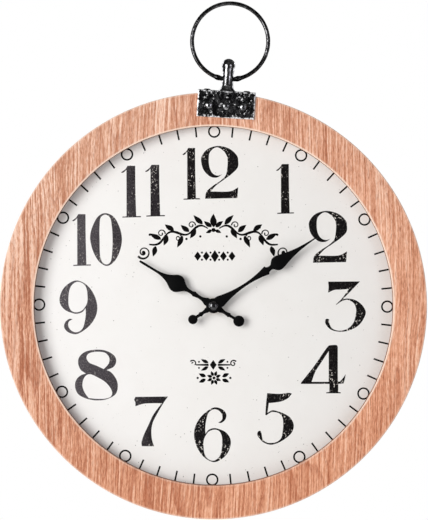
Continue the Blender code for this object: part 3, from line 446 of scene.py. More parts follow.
def sleeve(name):
    """Plain two-tone sleeve of a dry cell: a dark barrel and a lighter band at the + end."""
    w = Mat(name, rough=0.3)
    x = w.axis(0)
    n = w.noise(w.mapped((0.3, 1, 1)), 400.0, 3.0, 0.6)
    dark = w.ramp(n, [(0.3, srgb(36, 44, 60)), (0.7, srgb(46, 56, 74))])
    light = w.ramp(n, [(0.3, srgb(176, 120, 66)), (0.7, srgb(196, 138, 80))])
    edge = w.span(x, 0.01295, 0.01305)
    rim = w.math('MULTIPLY', w.span(x, 0.0119, 0.0120), w.span(x, 0.01245, 0.01255, 1.0, 0.0))
    c = w.mix(edge, dark, light)
    w.set("Base Color", w.mix(rim, c, srgb(208, 208, 204)))
    w.set("Roughness", w.span(n, 0.3, 0.7, 0.24, 0.36))
    w.set("Normal", w.bump(n, 0.00003, 0.3))
    return w.m


def simple(name, lo, hi, scale, rough=(0.5, 0.7), metal=0.0, depth=0.00005):
    w = Mat(name, rough=rough[0], metal=metal)
    n = w.noise(w.co, scale, 3.0, 0.6)
    w.set("Base Color", w.ramp(n, [(0.32, v4(lo)), (0.68, v4(hi))]))
    w.set("Roughness", w.span(n, 0.3, 0.7, rough[0], rough[1]))
    w.set("Normal", w.bump(n, depth, 0.5))
    return w.m


WOOD = veneer("oak_face")
WOOD_BAND = veneer("oak_band", band=True)
# inner wall of the ring, tinted darker: painted shade in the recess
WOOD_INNER_SHADE = veneer("oak_inner_wall_painted_shade", band=True, tint=(0.42, 0.36, 0.33, 1.0))
MDF = fibreboard("fibreboard_raw")
BOARD = hardboard("hardboard_back")
PAPER = paper("dial_paper_print")
INK = ink("ink_worn")
INK_FINE = ink("ink_fine", worn=False)
IRON = iron("iron_hammered")
# the same blackened iron made brighter for the rivets and post, so the lamps' highlights show strongly there while the
# ring wire stays dark: a lit copy of one material, painted highlight
IRON_LIT_COPY = iron("iron_lit_copy_for_highlights", lift=3.2, edge=0.5)
IRON_WORN = iron("iron_worn_edges", worn=True)
HAND = hand_paint("hand_black_satin")
ZINC = plated("zinc_plate")
SILICON = plated("stator_sheet", (0.34, 0.35, 0.37), (0.52, 0.53, 0.55), (0.30, 0.45))
ARBOR = plated("arbor_bright", (0.58, 0.58, 0.60), (0.76, 0.76, 0.78), (0.16, 0.28))
BLACK_ABS = plastic("abs_black", (0.012, 0.012, 0.013), (0.024, 0.024, 0.026))
WHITE_POM = plastic("pom_white", (0.74, 0.73, 0.69), (0.84, 0.83, 0.80), (0.34, 0.46), 2200.0, 0.00002)
BRASS = brass("brass_turned")
RUBBER = simple("rubber_black", (0.010, 0.010, 0.010), (0.024, 0.024, 0.024), 1200.0, (0.75, 0.9), 0.0, 0.00008)
COPPER = copper("copper_enamelled")
PCB = pcb("board_green")
EPOXY = simple("epoxy_black", (0.006, 0.006, 0.006), (0.014, 0.014, 0.014), 700.0, (0.18, 0.34), 0.0, 0.00006)
FERRITE = simple("ferrite_grey", (0.06, 0.06, 0.065), (0.12, 0.12, 0.13), 1500.0, (0.4, 0.6), 0.55, 0.00005)
CELL = sleeve("cell_wrap")


# ---------------------------------------------------------------- mesh helpers
def make(name, verts, faces, mats, body="case", replaces=(), smooth=35.0, ids=None, merge=False):
    me = bpy.data.meshes.new(name)
    me.from_pydata([tuple(v) for v in verts], [], faces)
    bm = bmesh.new()
    bm.from_mesh(me)
    if merge:
        bmesh.ops.remove_doubles(bm, verts=bm.verts, dist=1e-7)
    bmesh.ops.recalc_face_normals(bm, faces=bm.faces)
    bm.to_mesh(me)
    bm.free()
    ob = bpy.data.objects.new(name, me)
    bpy.context.scene.collection.objects.link(ob)
    for m in mats:
        me.materials.append(m)
    if ids is not None:
        for p, i in zip(me.polygons, ids):
            p.material_index = i
    finish_shading(me, smooth)
    if body:
        enrol(ob, body, replaces)
    return ob


def finish_shading(me, smooth):
    if smooth:
        me.shade_smooth()
        me.set_sharp_from_angle(angle=math.radians(smooth))
    else:
        me.shade_flat()


def enrol(ob, body, replaces=()):
    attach(ob, body)
    if replaces:
        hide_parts(*replaces)


def cut(ob, cutters, op='DIFFERENCE', smooth=35.0):
    for c in cutters:
        m = ob.modifiers.new("cut", 'BOOLEAN')
        m.operation = op
        m.solver = 'EXACT'
        m.object = c
    dg = bpy.context.evaluated_depsgraph_get()
    me = bpy.data.meshes.new_from_object(ob.evaluated_get(dg))
    ob.modifiers.clear()
    old, name = ob.data, ob.data.name
    ob.data = me
    bpy.data.meshes.remove(old)
    me.name = name
    for c in cutters:
        d = c.data
        bpy.data.objects.remove(c)
        bpy.data.meshes.remove(d)
    finish_shading(me, smooth)
    return ob


def lathe_mesh(profile, steps, place, closed=False):
    """Turned solid. profile: (radius, height); place(u, v, h) gives the point for a turn direction."""
    verts, rings = [], []
    for r, h in profile:
        if r < 1e-9:
            rings.append([len(verts)])
            verts.append(place(0.0, 0.0, h))
        else:
            start = len(verts)
            for i in range(steps):
                a = 2 * math.pi * i / steps
                verts.append(place(r * math.cos(a), r * math.sin(a), h))
            rings.append(list(range(start, start + steps)))
    faces = []
    pairs = list(zip(rings, rings[1:]))
    if closed:
        pairs.append((rings[-1], rings[0]))
    for a, b in pairs:
        for i in range(steps):
            j = (i + 1) % steps
            if len(a) == 1 and len(b) == 1:
                continue
            if len(a) == 1:
                faces.append((a[0], b[i], b[j]))
            elif len(b) == 1:
                faces.append((a[i], b[0], a[j]))
            else:
                faces.append((a[i], b[i], b[j], a[j]))
    return verts, faces


def along_y(centre=(0.0, 0.0), turned=False):
    def place(u, v, h):
        p = W(centre[0] + u, h, centre[1] + v)
        return TURN @ p if turned else p
    return place


def upright(x=0.0, y=POST_Y, turned=True):
    def place(u, v, h):
        p = W(x + u, y + v, h)
        return TURN @ p if turned else p
    return place


def along_x(y, z):
    def place(u, v, h):
        return W(h, y + u, z + v)
    return place


def arc(cx, cy, r, a0, a1, n):
    return [(cx + r * math.cos(math.radians(a0 + (a1 - a0) * i / n)),
             cy + r * math.sin(math.radians(a0 + (a1 - a0) * i / n))) for i in range(n + 1)]


def polar(r, degrees, centre=(0.0, 0.0)):
    a = math.radians(degrees)
    return (centre[0] + r * math.cos(a), centre[1] + r * math.sin(a))


def circle(r, steps, centre=(0.0, 0.0), start=0.0):
    return [(centre[0] + r * math.cos(start + 2 * math.pi * i / steps),
             centre[1] + r * math.sin(start + 2 * math.pi * i / steps)) for i in range(steps)]


def area(loop):
    return 0.5 * sum(a[0] * b[1] - b[0] * a[1] for a, b in zip(loop, loop[1:] + loop[:1]))


def inset(loop, d):
    """Moves a closed loop inwards (to its left when it runs anticlockwise) by d."""
    out = []
    n = len(loop)
    for i in range(n):
        p0, p, p1 = loop[i - 1], loop[i], loop[(i + 1) % n]
        ax, ay = p[0] - p0[0], p[1] - p0[1]
        bx, by = p1[0] - p[0], p1[1] - p[1]
        la, lb = math.hypot(ax, ay) or 1e-9, math.hypot(bx, by) or 1e-9
        nx, ny = -ay / la - by / lb, ax / la + bx / lb
        ln = math.hypot(nx, ny) or 1e-9
        nx, ny = nx / ln, ny / ln
        cosh = max(0.45, nx * -ay / la + ny * ax / la)
        out.append((p[0] + nx * d / cosh, p[1] + ny * d / cosh))
    return out


def plate_data(loops, y_front, y_back, round_front=0.0, steps=3, matrix=None, round_back=0.0):
    """Flat plate with holes: loops[0] is the outline, the rest are holes. Edges may be rounded."""
    fixed = []
    for k, lp in enumerate(loops):
        lp = list(lp)
        if (area(lp) > 0) != (k == 0):
            lp.reverse()
        fixed.append(lp)
    levels = []                                   # (inset, y) from the back to the front
    if round_back > 0:
        for i in range(steps + 1):
            a = math.pi / 2 * i / steps
            levels.append((round_back * (1 - math.sin(a)), y_back - round_back * (1 - math.cos(a))))
    else:
        levels.append((0.0, y_back))
    if round_front > 0:
        for i in range(steps + 1):
            a = math.pi / 2 * i / steps
            levels.append((round_front * (1 - math.cos(a)), y_front + round_front * (1 - math.sin(a))))
    else:
        levels.append((0.0, y_front))
    verts, faces = [], []
    shell = []
    for d, y in levels:
        row = []
        for lp in fixed:
            pts = inset(lp, d) if d > 0 else lp
            start = len(verts)
            for x, z in pts:
                p = W(x, y, z)
                verts.append(matrix @ p if matrix is not None else p)
            row.append((start, len(pts)))
        shell.append(row)
    for a, b in zip(shell, shell[1:]):
        for (sa, n), (sb, _) in zip(a, b):
            for i in range(n):
                j = (i + 1) % n
                faces.append((sa + i, sa + j, sb + j, sb + i))
    for row, d in ((shell[0], levels[0][0]), (shell[-1], levels[-1][0])):
        polys = []
        index = []
        for (s, n), lp in zip(row, fixed):
            pts = inset(lp, d) if d > 0 else lp
            polys.append([Vector((x, z, 0.0)) for x, z in pts])
            index += list(range(s, s + n))
        for t in tessellate_polygon(polys):
            faces.append(tuple(index[i] for i in t))
    return verts, faces


class Batch:
    """Gathers several closed bodies into one mesh."""
    def __init__(self):
        self.verts, self.faces = [], []

    def add(self, data):
        o = len(self.verts)
        self.verts += data[0]
        self.faces += [tuple(i + o for i in f) for f in data[1]]


def smooth_loop(points, step, closed=True):
    """Smooth outline through points; a point marked 'c' keeps its corner."""
    pts = [(p[0], p[1], len(p) > 2) for p in points]
    n = len(pts)
    out = []
    last = n if closed else n - 1
    for i in range(last):
        p1, p2 = pts[i], pts[(i + 1) % n]
        if closed:
            p0, p3 = pts[i - 1], pts[(i + 2) % n]
        else:
            p0 = pts[i - 1] if i > 0 else (2 * p1[0] - p2[0], 2 * p1[1] - p2[1], True)
            p3 = pts[i + 2] if i + 2 < n else (2 * p2[0] - p1[0], 2 * p2[1] - p1[1], True)
        length = math.hypot(p2[0] - p1[0], p2[1] - p1[1])
        if p1[2] and p2[2]:
            out.append((p1[0], p1[1]))
            continue
        if p1[2]:
            p0 = (2 * p1[0] - p2[0], 2 * p1[1] - p2[1])
        if p2[2]:
            p3 = (2 * p2[0] - p1[0], 2 * p2[1] - p1[1])
        a, b, c, d = (np.array(q[:2], float) for q in (p0, p1, p2, p3))
        t0 = 0.0
        t1 = t0 + max(np.linalg.norm(b - a), 1e-6) ** 0.5
        t2 = t1 + max(np.linalg.norm(c - b), 1e-6) ** 0.5
        t3 = t2 + max(np.linalg.norm(d - c), 1e-6) ** 0.5
        m = max(2, int(round(length / step)))
        for k in range(m):
            t = t1 + (t2 - t1) * k / m
            a1 = (t1 - t) / (t1 - t0) * a + (t - t0) / (t1 - t0) * b
            a2 = (t2 - t) / (t2 - t1) * b + (t - t1) / (t2 - t1) * c
            a3 = (t3 - t) / (t3 - t2) * c + (t - t2) / (t3 - t2) * d
            b1 = (t2 - t) / (t2 - t0) * a1 + (t - t0) / (t2 - t0) * a2
            b2 = (t3 - t) / (t3 - t1) * a2 + (t - t1) / (t3 - t1) * a3
            q = (t2 - t) / (t2 - t1) * b1 + (t - t1) / (t2 - t1) * b2
            out.append((float(q[0]), float(q[1])))
    if not closed:
        out.append((pts[-1][0], pts[-1][1]))
    return out


def pits(p, scale, seed):
    return noise.noise(p * scale + Vector((seed, seed * 0.7, -seed)))


# ---------------------------------------------------------------- wooden case
RND = 0.85
profile = ([(FRAME_R, FACE_BACK_Y)] + [(FRAME_R - RND + RND * math.cos(t), FRONT_Y + RND - RND * math.sin(t))
                                       for t in [math.pi / 2 * i / 5 for i in range(6)]]
           + [(187.0, FRONT_Y)]
           + [(FACE_INNER_R + RND - RND * math.sin(t), FRONT_Y + RND - RND * math.cos(t))
              for t in [math.pi / 2 * i / 5 for i in range(6)]]
           + [(FACE_INNER_R, FACE_BACK_Y)])
v, f = lathe_mesh(profile, 288, along_y(), closed=True)
face = make("case_front_ring", v, f, [WOOD, WOOD_BAND, MDF, WOOD_INNER_SHADE], None)
holes = []
for i in range(6):
    hv, hf = lathe_mesh([(0, -37.0), (1.5, -37.0), (1.5, -26.0), (0, -26.0)], 16,
                        along_y(polar(BOARD_SCREW_R, 30 + 60 * i)))
    holes.append(make("c", hv, hf, [], None))
for k in (-1, 0, 1):
    hv, hf = lathe_mesh([(0, -46.0), (1.4, -46.0), (1.4, -36.0), (0, -36.0)], 16,
                        along_y((k * RIVET_PITCH, RIVET_AT), True))
    holes.append(make("c", hv, hf, [], None))
cut(face, holes)
for p in face.data.polygons:
    c, nrm = p.center, p.normal
    r = math.hypot(c.x, c.z - CZ * MM) / MM
    if nrm.y > 0.5:
        p.material_index = 2
    elif abs(nrm.y) < 0.35 and r > FRAME_R - 0.4:
        p.material_index = 1
    elif abs(nrm.y) < 0.35 and r < FACE_INNER_R + 0.4:
        p.material_index = 3
    elif abs(nrm.y) < 0.9 and FACE_INNER_R + 1.5 < r < FRAME_R - 1.5:
        p.material_index = 2
    else:
        p.material_index = 0
enrol(face, "case", ["frame_face_ring"])

profile = [(FRAME_R, RIM_FRONT_Y), (RIM_INNER_R, RIM_FRONT_Y), (RIM_INNER_R, -0.5), (RIM_INNER_R + 0.5, 0.0),
           (FRAME_R - 0.9, 0.0), (FRAME_R - 0.25, -0.25), (FRAME_R, -0.9)]
v, f = lathe_mesh(profile, 288, along_y(), closed=True)
rim = make("case_rear_ring", v, f, [MDF, WOOD_BAND], None)


def box_cutter(x0, x1, y0, y1, z0, z1, matrix=None):
    vv = [W(x, y, z) for x in (x0, x1) for y in (y0, y1) for z in (z0, z1)]
    if matrix is not None:
        vv = [matrix @ p for p in vv]
    ff = [(0, 1, 3, 2), (4, 6, 7, 5), (0, 4, 5, 1), (2, 3, 7, 6), (0, 2, 6, 4), (1, 5, 7, 3)]
    return make("c", vv, ff, [], None, smooth=0)


HZ = 196.5
holes = [box_cutter(-17.4, 17.4, -3.3, 5.0, HZ - 13.4, HZ + 4.3),
         box_cutter(-5.6, 5.6, -12.0, 3.0, HZ - 12.5, HZ + 4.2)]
for s in (-1, 1):
    hv, hf = lathe_mesh([(0, -15.0), (1.5, -15.0), (1.5, 2.0), (0, 2.0)], 16, along_y((s * 12.4, HZ - 5.0)))
    holes.append(make("c", hv, hf, [], None))
    hv, hf = lathe_mesh([(0, 190.0), (1.7, 190.0), (1.7, 208.0), (0, 208.0)], 16, upright(s * 19.0))
    holes.append(make("c", hv, hf, [], None))
hv, hf = lathe_mesh([(0, 187.5), (3.4, 187.5), (3.4, 208.0), (0, 208.0)], 24, upright(0.0))
holes.append(make("c", hv, hf, [], None))
cut(rim, holes)
for p in rim.data.polygons:
    c, nrm = p.center, p.normal
    r = math.hypot(c.x, c.z - CZ * MM) / MM
    radial = (nrm.x * c.x + nrm.z * (c.z - CZ * MM)) / (r * MM)
    p.material_index = 1 if (r > FRAME_R - 0.7 and radial > 0.5) else 0
enrol(rim, "case", ["frame_rim_ring"])

# ---------------------------------------------------------------- dial sheet and board
screw_at = [polar(BOARD_SCREW_R, 30 + 60 * i) for i in range(6)]
v, f = plate_data([circle(181.0, 256), circle(4.4, 48)] + [circle(1.8, 16, c) for c in screw_at], PAPER_Y, -28.3)
make("dial_sheet", v, f, [PAPER], "case", ["dial_paper"])
v, f = plate_data([circle(181.4, 256), circle(4.4, 48)] + [circle(2.1, 20, c) for c in screw_at], -28.0, -23.0,
                  0.0, 2, None, 0.35)
make("backing_board", v, f, [BOARD], "case", ["dial_board"])

# ---------------------------------------------------------------- printed dial
PX = 0.9506                       # millimetres for one unit of the dial's drawing grid
INK_Y = (PAPER_Y - 0.05, PAPER_Y - 0.004)


def D(px, py):
    """Drawing grid (x right, y down) to millimetres from the dial's centre."""
    return ((px - 213.3) * PX * 1.0044, (305.3 - py) * PX * 1.0044)


C = 'c'
G = {
    '1': (35.6, [[(11.5, 0, C), (25.3, 0, C), (25.6, 40), (27, 97.2, C), (35.6, 97, C), (35.6, 99.2, C), (2.2, 100, C),
                  (2.2, 98, C), (9.8, 97.4, C), (9.6, 7.6, C), (7, 10.5), (4.5, 12.8), (1.2, 13.9, C), (0, 12.4, C),
                  (4, 9.5), (8, 6)]]),
    '2': (71.1, [[(7.1, 100, C), (69.5, 98.7, C), (71.1, 78.2, C), (57.7, 85.3), (17.4, 86.4, C), (29.2, 74.2),
                  (43.4, 64), (58.5, 52.9), (70.3, 40.3), (71.1, 27.6), (69.5, 19.7), (54.5, 5.5), (30.8, 0),
                  (10.3, 7.1), (0, 21.3), (0, 32.4), (3.2, 43.4), (10.3, 52.9), (19.7, 59.2), (30.8, 59.6),
                  (40.3, 53.7, C), (31.6, 56.1), (22.9, 52.9), (16.6, 43.4), (14.2, 27.6), (16.6, 11.8), (29.2, 2.7),
                  (41.9, 8.7), (49.8, 21.3), (49.8, 43.4), (46.6, 56.1), (37.1, 65.6), (22.9, 75), (9.8, 86.9)]]),
    '0': (62.3, [[(29.5, 0), (45, 6), (57, 25), (62.3, 50), (57, 75), (46, 93), (33, 100), (20, 94), (7, 75), (0, 45),
                  (6, 22), (17, 5)],
                 [(29.5, 2.9), (38.5, 8), (42.5, 25), (44, 50), (43, 75), (40, 92), (34, 97), (26, 95), (20.5, 85),
                  (18.5, 50), (18.5, 25), (21, 8)]]),
    '3': (78.8, [[(6.1, 1.3, C), (67.6, .9, C), (52.7, 16.8), (34.5, 35.9, C), (43.4, 34.5), (60.1, 38.2), (73.2, 49.3),
                  (78.8, 61.5), (75, 73.6), (65.7, 86.6), (50.8, 95.9), (30.4, 100), (11.7, 95.9), (2.4, 86.6),
                  (0, 79.1), (1.5, 75.2), (3.4, 74.3), (8, 75.2, C), (8.4, 82.9), (13.6, 93.1), (26.6, 97.8), (43.4, 94),
                  (54.6, 82.9), (59.8, 64.2), (60.1, 54.9), (55.5, 43.8), (43.4, 37.2), (32.2, 40), (22, 47.1, C),
                  (21.2, 46.2, C), (32.2, 35), (46.2, 15.8, C), (30, 17), (18.2, 17.7), (6.1, 22.9, C), (7, 12)]]),
    '4': (91.3, [[(61.5, .6), (73, .6), (75.1, 4, C), (75.1, 74.8, C), (78.6, 75.3), (84, 70), (91.3, 60.2, C),
                  (89.7, 69), (86.8, 79, C), (76.1, 80, C), (75.9, 96.5, C), (81, 97.3, C), (81, 99.3, C),
                  (51.5, 99.3, C), (51.5, 97.3, C), (58, 96.5, C), (58, 80, C), (0, 80, C), (0, 77.7, C), (25, 46),
                  (56.7, 1.6), (59, .8)],
                 [(21.7, 75.7, C), (56.7, 75.7, C), (56.7, 12.6, C), (40, 38), (29.5, 55)]]),
    '5': (72.0, [[(19.6, .4, C), (43, 1.8), (64, 0), (67.9, 1.5, C), (61, 9.6), (47.8, 16.2), (25.7, 19.4),
                  (22.8, 19.4, C), (20.2, 38.5, C), (29.4, 33.5), (41.9, 36), (55.1, 41.2), (65.4, 48.5), (71.6, 61.8),
                  (69.9, 72), (64, 80.9), (50.7, 91.2), (37.5, 97.8), (25.7, 100), (12.5, 95.6), (3.7, 86.8),
                  (0, 79.4), (2.9, 73.5), (6.6, 73.1, C), (8.4, 77.9), (11, 89.7), (18.4, 95.6), (27.2, 96.6),
                  (39, 94.1), (47.1, 86.8), (50, 73.5), (51, 61.8), (49.3, 47.1), (43.4, 39.7), (30.9, 36.8), (24, 39),
                  (18.4, 43.1, C), (15.9, 42.6, C), (17.5, 20)]]),
    '6': (67.8, [[(44.6, 28.1, C), (50, 28.6), (57.5, 22.5), (59.6, 13.8), (54.4, 5.3), (39.7, 0), (27.7, 4.6),
                  (12.2, 18), (2.4, 34.9), (0, 50.4), (3.8, 68.6), (12.2, 84.1), (22.1, 94), (36.1, 100), (47.4, 96.8),
                  (61.5, 84.1), (67.8, 65.8), (65.7, 54.6), (57.2, 44.7), (46, 39.8), (37.6, 38), (27, 41.2),
                  (21, 48.5, C), (20.7, 37.7), (22.8, 22.2), (26.3, 11), (31.9, 5.6), (39, 3.7), (47.4, 7.5), (52, 15.2),
                  (51.3, 22.9)],
                 [(23.2, 48.9), (27.7, 44), (37.6, 40.8), (46, 43.3), (50.9, 51.8), (51.9, 65.8), (49.5, 84.1),
                  (44.6, 92.5), (36.1, 97.5), (26.3, 94.7), (20, 86.9), (17.6, 71.4), (18.3, 58.5)]]),
    '7': (67.7, [[(2.3, .8, C), (67.7, 0, C), (58.9, 12.5), (45.1, 36.2), (37.5, 51.5), (34.7, 63.8), (34.4, 76),
                  (35.9, 88.2), (39.8, 100, C), (15.3, 99.7, C), (14.5, 93), (19.1, 77.5), (28.3, 57.6), (37.5, 37.8),
                  (48.2, 22.5), (55.8, 13.6, C), (35, 13.5), (17.6, 14.8), (2.3, 19.7, C), (2.2, 12), (0, 6.4)]]),
    '8': (84.9, [[(44.2, 0), (64.2, 3.3), (78.8, 13.3), (81.6, 23.4), (77, 33.4), (62.5, 40.5, C), (69.7, 43.4),
                  (80.7, 56.2), (84.9, 70.8), (80.7, 87.2), (64.2, 97.3), (44.2, 100), (22.3, 96.4), (5.8, 87.2),
                  (0, 72.6), (2.2, 59.9), (11.3, 50.7), (21.4, 47.1, C), (11.3, 39.8), (6.2, 27), (7.7, 16.1),
                  (18.6, 5.1)],
                 [(31.4, 6), (46, 4.2), (60.6, 6.9), (67.9, 16.1), (67, 27), (57, 38.3, C), (42.3, 31.6), (27.7, 25.2),
                  (22.6, 16.1), (25, 9.7)],
                 [(29.6, 48.5), (46, 55.3), (60.6, 64.4), (70.6, 76.3), (73.7, 86.3), (70.6, 92.7), (60.6, 96.4),
                  (42.3, 96.9), (26.8, 95.4, C), (18.6, 83.6), (14.6, 70.8), (16.8, 58), (22.3, 50.7)]]),
}
G['9'] = (67.8, [[tuple([67.8 - p[0], 100 - p[1]] + list(p[2:])) for p in lp] for lp in G['6'][1]])

NUMERALS = [
    ("numeral_12", [('1', 182, 199, 148, 199), ('2', 201, 237, 146, 198)], 0.08, -0.50),
    ("numeral_1", [('1', 276, 293, 164, 213)], -0.20, -0.40),
    ("numeral_2", [('2', 309, 346, 211, 262)], -0.20, -0.50),
    ("numeral_3", [('3', 325, 365, 281, 331)], -0.35, -0.47),
    ("numeral_4", [('4', 301, 345, 345, 393)], -0.40, -0.58),
    ("numeral_5", [('5', 257, 293, 393, 444)], -0.16, -0.53),
    ("numeral_6", [('6', 194, 230, 407, 461)], -0.30, -0.18),
    ("numeral_7", [('7', 134, 167, 396, 445)], -0.08, 0.05),
    ("numeral_8", [('8', 75, 117, 349, 399)], -0.28, 0.14),
    ("numeral_9", [('9', 59, 96, 280, 333)], 0.20, 0.0),
    ("numeral_10", [('1', 72, 90, 214, 265), ('0', 90, 121, 213, 265)], -0.20, -0.30),
    ("numeral_11", [('1', 121, 140, 166, 217), ('1', 145, 164, 165, 216)], -0.20, -0.64),
]
for name, parts, move_x, move_y in NUMERALS:
    b = Batch()
    for ch, x0, x1, y0, y1 in parts:
        width, loops = G[ch]
        x0, x1, y0, y1 = x0 + 0.1 + move_x, x1 + 0.9 + move_x, y0 + 0.1 + move_y, y1 + 0.9 + move_y
        done = []
        for lp in loops:
            pts = [tuple(list(D(x0 + p[0] / width * (x1 - x0), y0 + p[1] / 100 * (y1 - y0))) + list(p[2:])) for p in lp]
            done.append(smooth_loop(pts, 0.45))
        b.add(plate_data(done, *INK_Y))
    make(name, b.verts, b.faces, [INK], "case", smooth=0)

# minute track: fine ticks, and a small ring at every hour
TRACK_TURN, TRACK_X, TRACK_R = math.radians(0.33), -0.30, 166.2    # the print sits a little off square
b = Batch()
for i in range(60):
    a = math.radians(6 * i) + TRACK_TURN
    if i % 5 == 0:
        continue
    s, c = math.sin(a), math.cos(a)
    lp = []
    for r, w in ((TRACK_R - 4.8, -0.80), (TRACK_R + 4.9, -0.80), (TRACK_R + 4.9, 0.80), (TRACK_R - 4.8, 0.80)):
        lp.append((TRACK_X + r * s + w * c, r * c - w * s))
    b.add(plate_data([lp], *INK_Y))
make("minute_track", b.verts, b.faces, [INK_FINE], "case", smooth=0)
b = Batch()
for i in range(12):
    a = math.radians(30 * i) + TRACK_TURN
    at = (TRACK_X + TRACK_R * math.sin(a), TRACK_R * math.cos(a))
    b.add(plate_data([circle(5.95, 40, at), circle(4.36, 40, at)], *INK_Y))
make("hour_rings", b.verts, b.faces, [INK_FINE], "case", smooth=0)


# ornaments: scrollwork made of tapering strokes, leaves and lozenges
def stroke(points, widths, step=0.5):
    """Outline of a tapering stroke along a smooth open line."""
    line = smooth_loop(points, step, closed=False)
    n = len(line)
    xs = np.linspace(0, 1, len(widths))
    left, right = [], []
    for i, p in enumerate(line):
        q0, q1 = line[max(0, i - 1)], line[min(n - 1, i + 1)]
        dx, dy = q1[0] - q0[0], q1[1] - q0[1]
        ln = math.hypot(dx, dy) or 1e-9
        w = float(np.interp(i / (n - 1), xs, widths)) / 2
        left.append((p[0] - dy / ln * w, p[1] + dx / ln * w))
        right.append((p[0] + dy / ln * w, p[1] - dx / ln * w))
    return left + right[::-1]


def leaf(x, y, degrees, length, width):
    a = math.radians(degrees)
    out = []
    for t, s in ((0, 0), (.18, .62), (.42, 1.0), (.70, .72), (1.0, 0), (.74, -.50), (.42, -.92), (.16, -.66)):
        u, w = t * length, s * width / 2
        out.append((x + u * math.cos(a) - w * math.sin(a), y + u * math.sin(a) + w * math.cos(a)))
    pts = [out[0] + (C,)] + out[1:4] + [out[4] + (C,)] + out[5:]
    return smooth_loop(pts, 0.4)


def spiral(cx, cy, r0, r1, a0, turns, n=26):
    return [(cx + (r0 + (r1 - r0) * (i / n) ** 0.8) * math.cos(a0 + 2 * math.pi * turns * i / n),
             cy + (r0 + (r1 - r0) * (i / n) ** 0.8) * math.sin(a0 + 2 * math.pi * turns * i / n)) for i in range(n + 1)]


def lozenge(x, y, w, h):
    return [(x - w / 2, y), (x, y - h / 2), (x + w / 2, y), (x, y + h / 2)]


def ornament(name, shapes):
    b = Batch()
    for k, lp in enumerate(shapes):
        lift = 0.0015 * (k % 5)
        b.add(plate_data([lp], INK_Y[0] - lift, INK_Y[1]))
    make(name, b.verts, b.faces, [INK_FINE], "case", smooth=0)


# vine arch above the hands, mirrored about the centre line
def arch_point(u, lift=0.0):
    """Point on the arch; u runs from -1 (left end) to 1, lift is outwards."""
    x = 213.3 + 70.0 * u
    y = 228.0 + 19.0 * u * u
    nx, ny = 2 * 19.0 * u, -70.0
    ln = math.hypot(nx, ny)
    return D(x + nx / ln * lift, y + ny / ln * lift)


shapes = []
for s in (-1, 1):
    # stem, waving gently about the arch
    stem = []
    for i in range(27):
        u = 0.08 + 0.84 * i / 26
        stem.append(arch_point(s * u, 3.4 * math.sin(i / 26 * math.pi * 4)))
    shapes.append(stroke(stem, [1.0, 2.3, 1.6, 2.5, 1.6, 2.3, 1.4]))
    # end scroll
    ex, ey = arch_point(s * 1.03, -4.5)
    sp = spiral(ex, ey, 0.9, 6.4, math.radians(200 if s > 0 else -20), 1.35 * s)
    shapes.append(stroke(sp, [2.0, 1.2, 1.1, 1.7, 2.2]))
    shapes.append(circle(1.7, 16, (ex, ey)))
    # leaves on both sides of the stem
    for i in range(8):
        u = 0.15 + 0.100 * i
        wave = 3.4 * math.sin((u - 0.08) / 0.84 * math.pi * 4)
        up = i % 2 == 0
        bx, by = arch_point(s * u, wave + (1.4 if up else -1.4))
        slope = -2 * 19.0 * s * u / 70.0
        lean = math.degrees(math.atan(slope)) if s > 0 else 180 + math.degrees(math.atan(slope))
        turn = (50 if up else -50) * (1 if s > 0 else -1)
        shapes.append(leaf(bx, by, lean + turn, 10.6 if i % 3 else 12.6, 5.0))
    # tendrils curling back from the stem
    for u, side, size in ((0.30, 1, 3.6), (0.52, -1, 3.4), (0.72, 1, 3.8)):
        wave = 3.4 * math.sin((u - 0.08) / 0.84 * math.pi * 4)
        tx, ty = arch_point(s * u, wave + side * 5.6)
        curl = spiral(tx, ty, 0.6, size, math.radians(90 + 60 * s), 1.1 * s * side, 18)
        shapes.append(stroke(curl, [1.5, 0.9, 1.0, 1.3]))
    for u, l in ((0.20, -7.4), (0.41, -7.6), (0.62, 8.6), (0.86, 8.4)):
        x, y = arch_point(s * u, l)
        shapes.append(circle(1.15, 14, (x, y)))
cx, cy = arch_point(0.0)
shapes.append(leaf(cx, cy + 1.0, 90, 13.0, 6.6))
shapes.append(leaf(cx - 1.8, cy + 1.2, 142, 9.4, 4.4))
shapes.append(leaf(cx + 1.8, cy + 1.2, 38, 9.4, 4.4))
shapes.append(leaf(cx - 1.4, cy - 1.6, 205, 6.6, 3.4))
shapes.append(leaf(cx + 1.4, cy - 1.6, -25, 6.6, 3.4))
shapes.append(circle(2.0, 18, (cx, cy - 1.6)))
ornament("vine_arch", shapes)

# row of lozenges under it
shapes = []
cx, cy = D(214.6, 255.8)
for k in range(-2, 3):
    shapes.append(lozenge(cx + k * 8.2, cy, 6.6 if k else 7.6, 9.0 if k else 11.6))
for k in (-1.5, -0.5, 0.5, 1.5):
    for up in (-3.4, 3.4):
        shapes.append(circle(1.0, 12, (cx + k * 8.2, cy + up)))
ornament("lozenge_row", shapes)

# rule with a centre lozenge and small scroll ends
shapes = []
cx, cy = D(213.0, 364.5)
for s in (-1, 1):
    shapes.append(stroke([(cx + s * 4.4, cy), (cx + s * 10, cy), (cx + s * 16.5, cy)], [2.2, 1.6, 1.2], 1.0))
    sp = spiral(cx + s * 19.2, cy + 1.3, 0.5, 3.2, math.radians(90), -1.15 * s)
    shapes.append(stroke(sp, [1.5, 1.0, 1.1, 1.4]))
    shapes.append(leaf(cx + s * 4.6, cy + 1.7, 90 - s * 62, 8.0, 3.4))
    shapes.append(leaf(cx + s * 4.6, cy - 1.7, -90 + s * 62, 8.0, 3.4))
    shapes.append(circle(0.9, 12, (cx + s * 13.6, cy + 2.9)))
    shapes.append(circle(0.9, 12, (cx + s * 13.6, cy - 2.9)))
shapes.append(lozenge(cx, cy, 6.6, 9.4))
ornament("centre_rule", shapes)

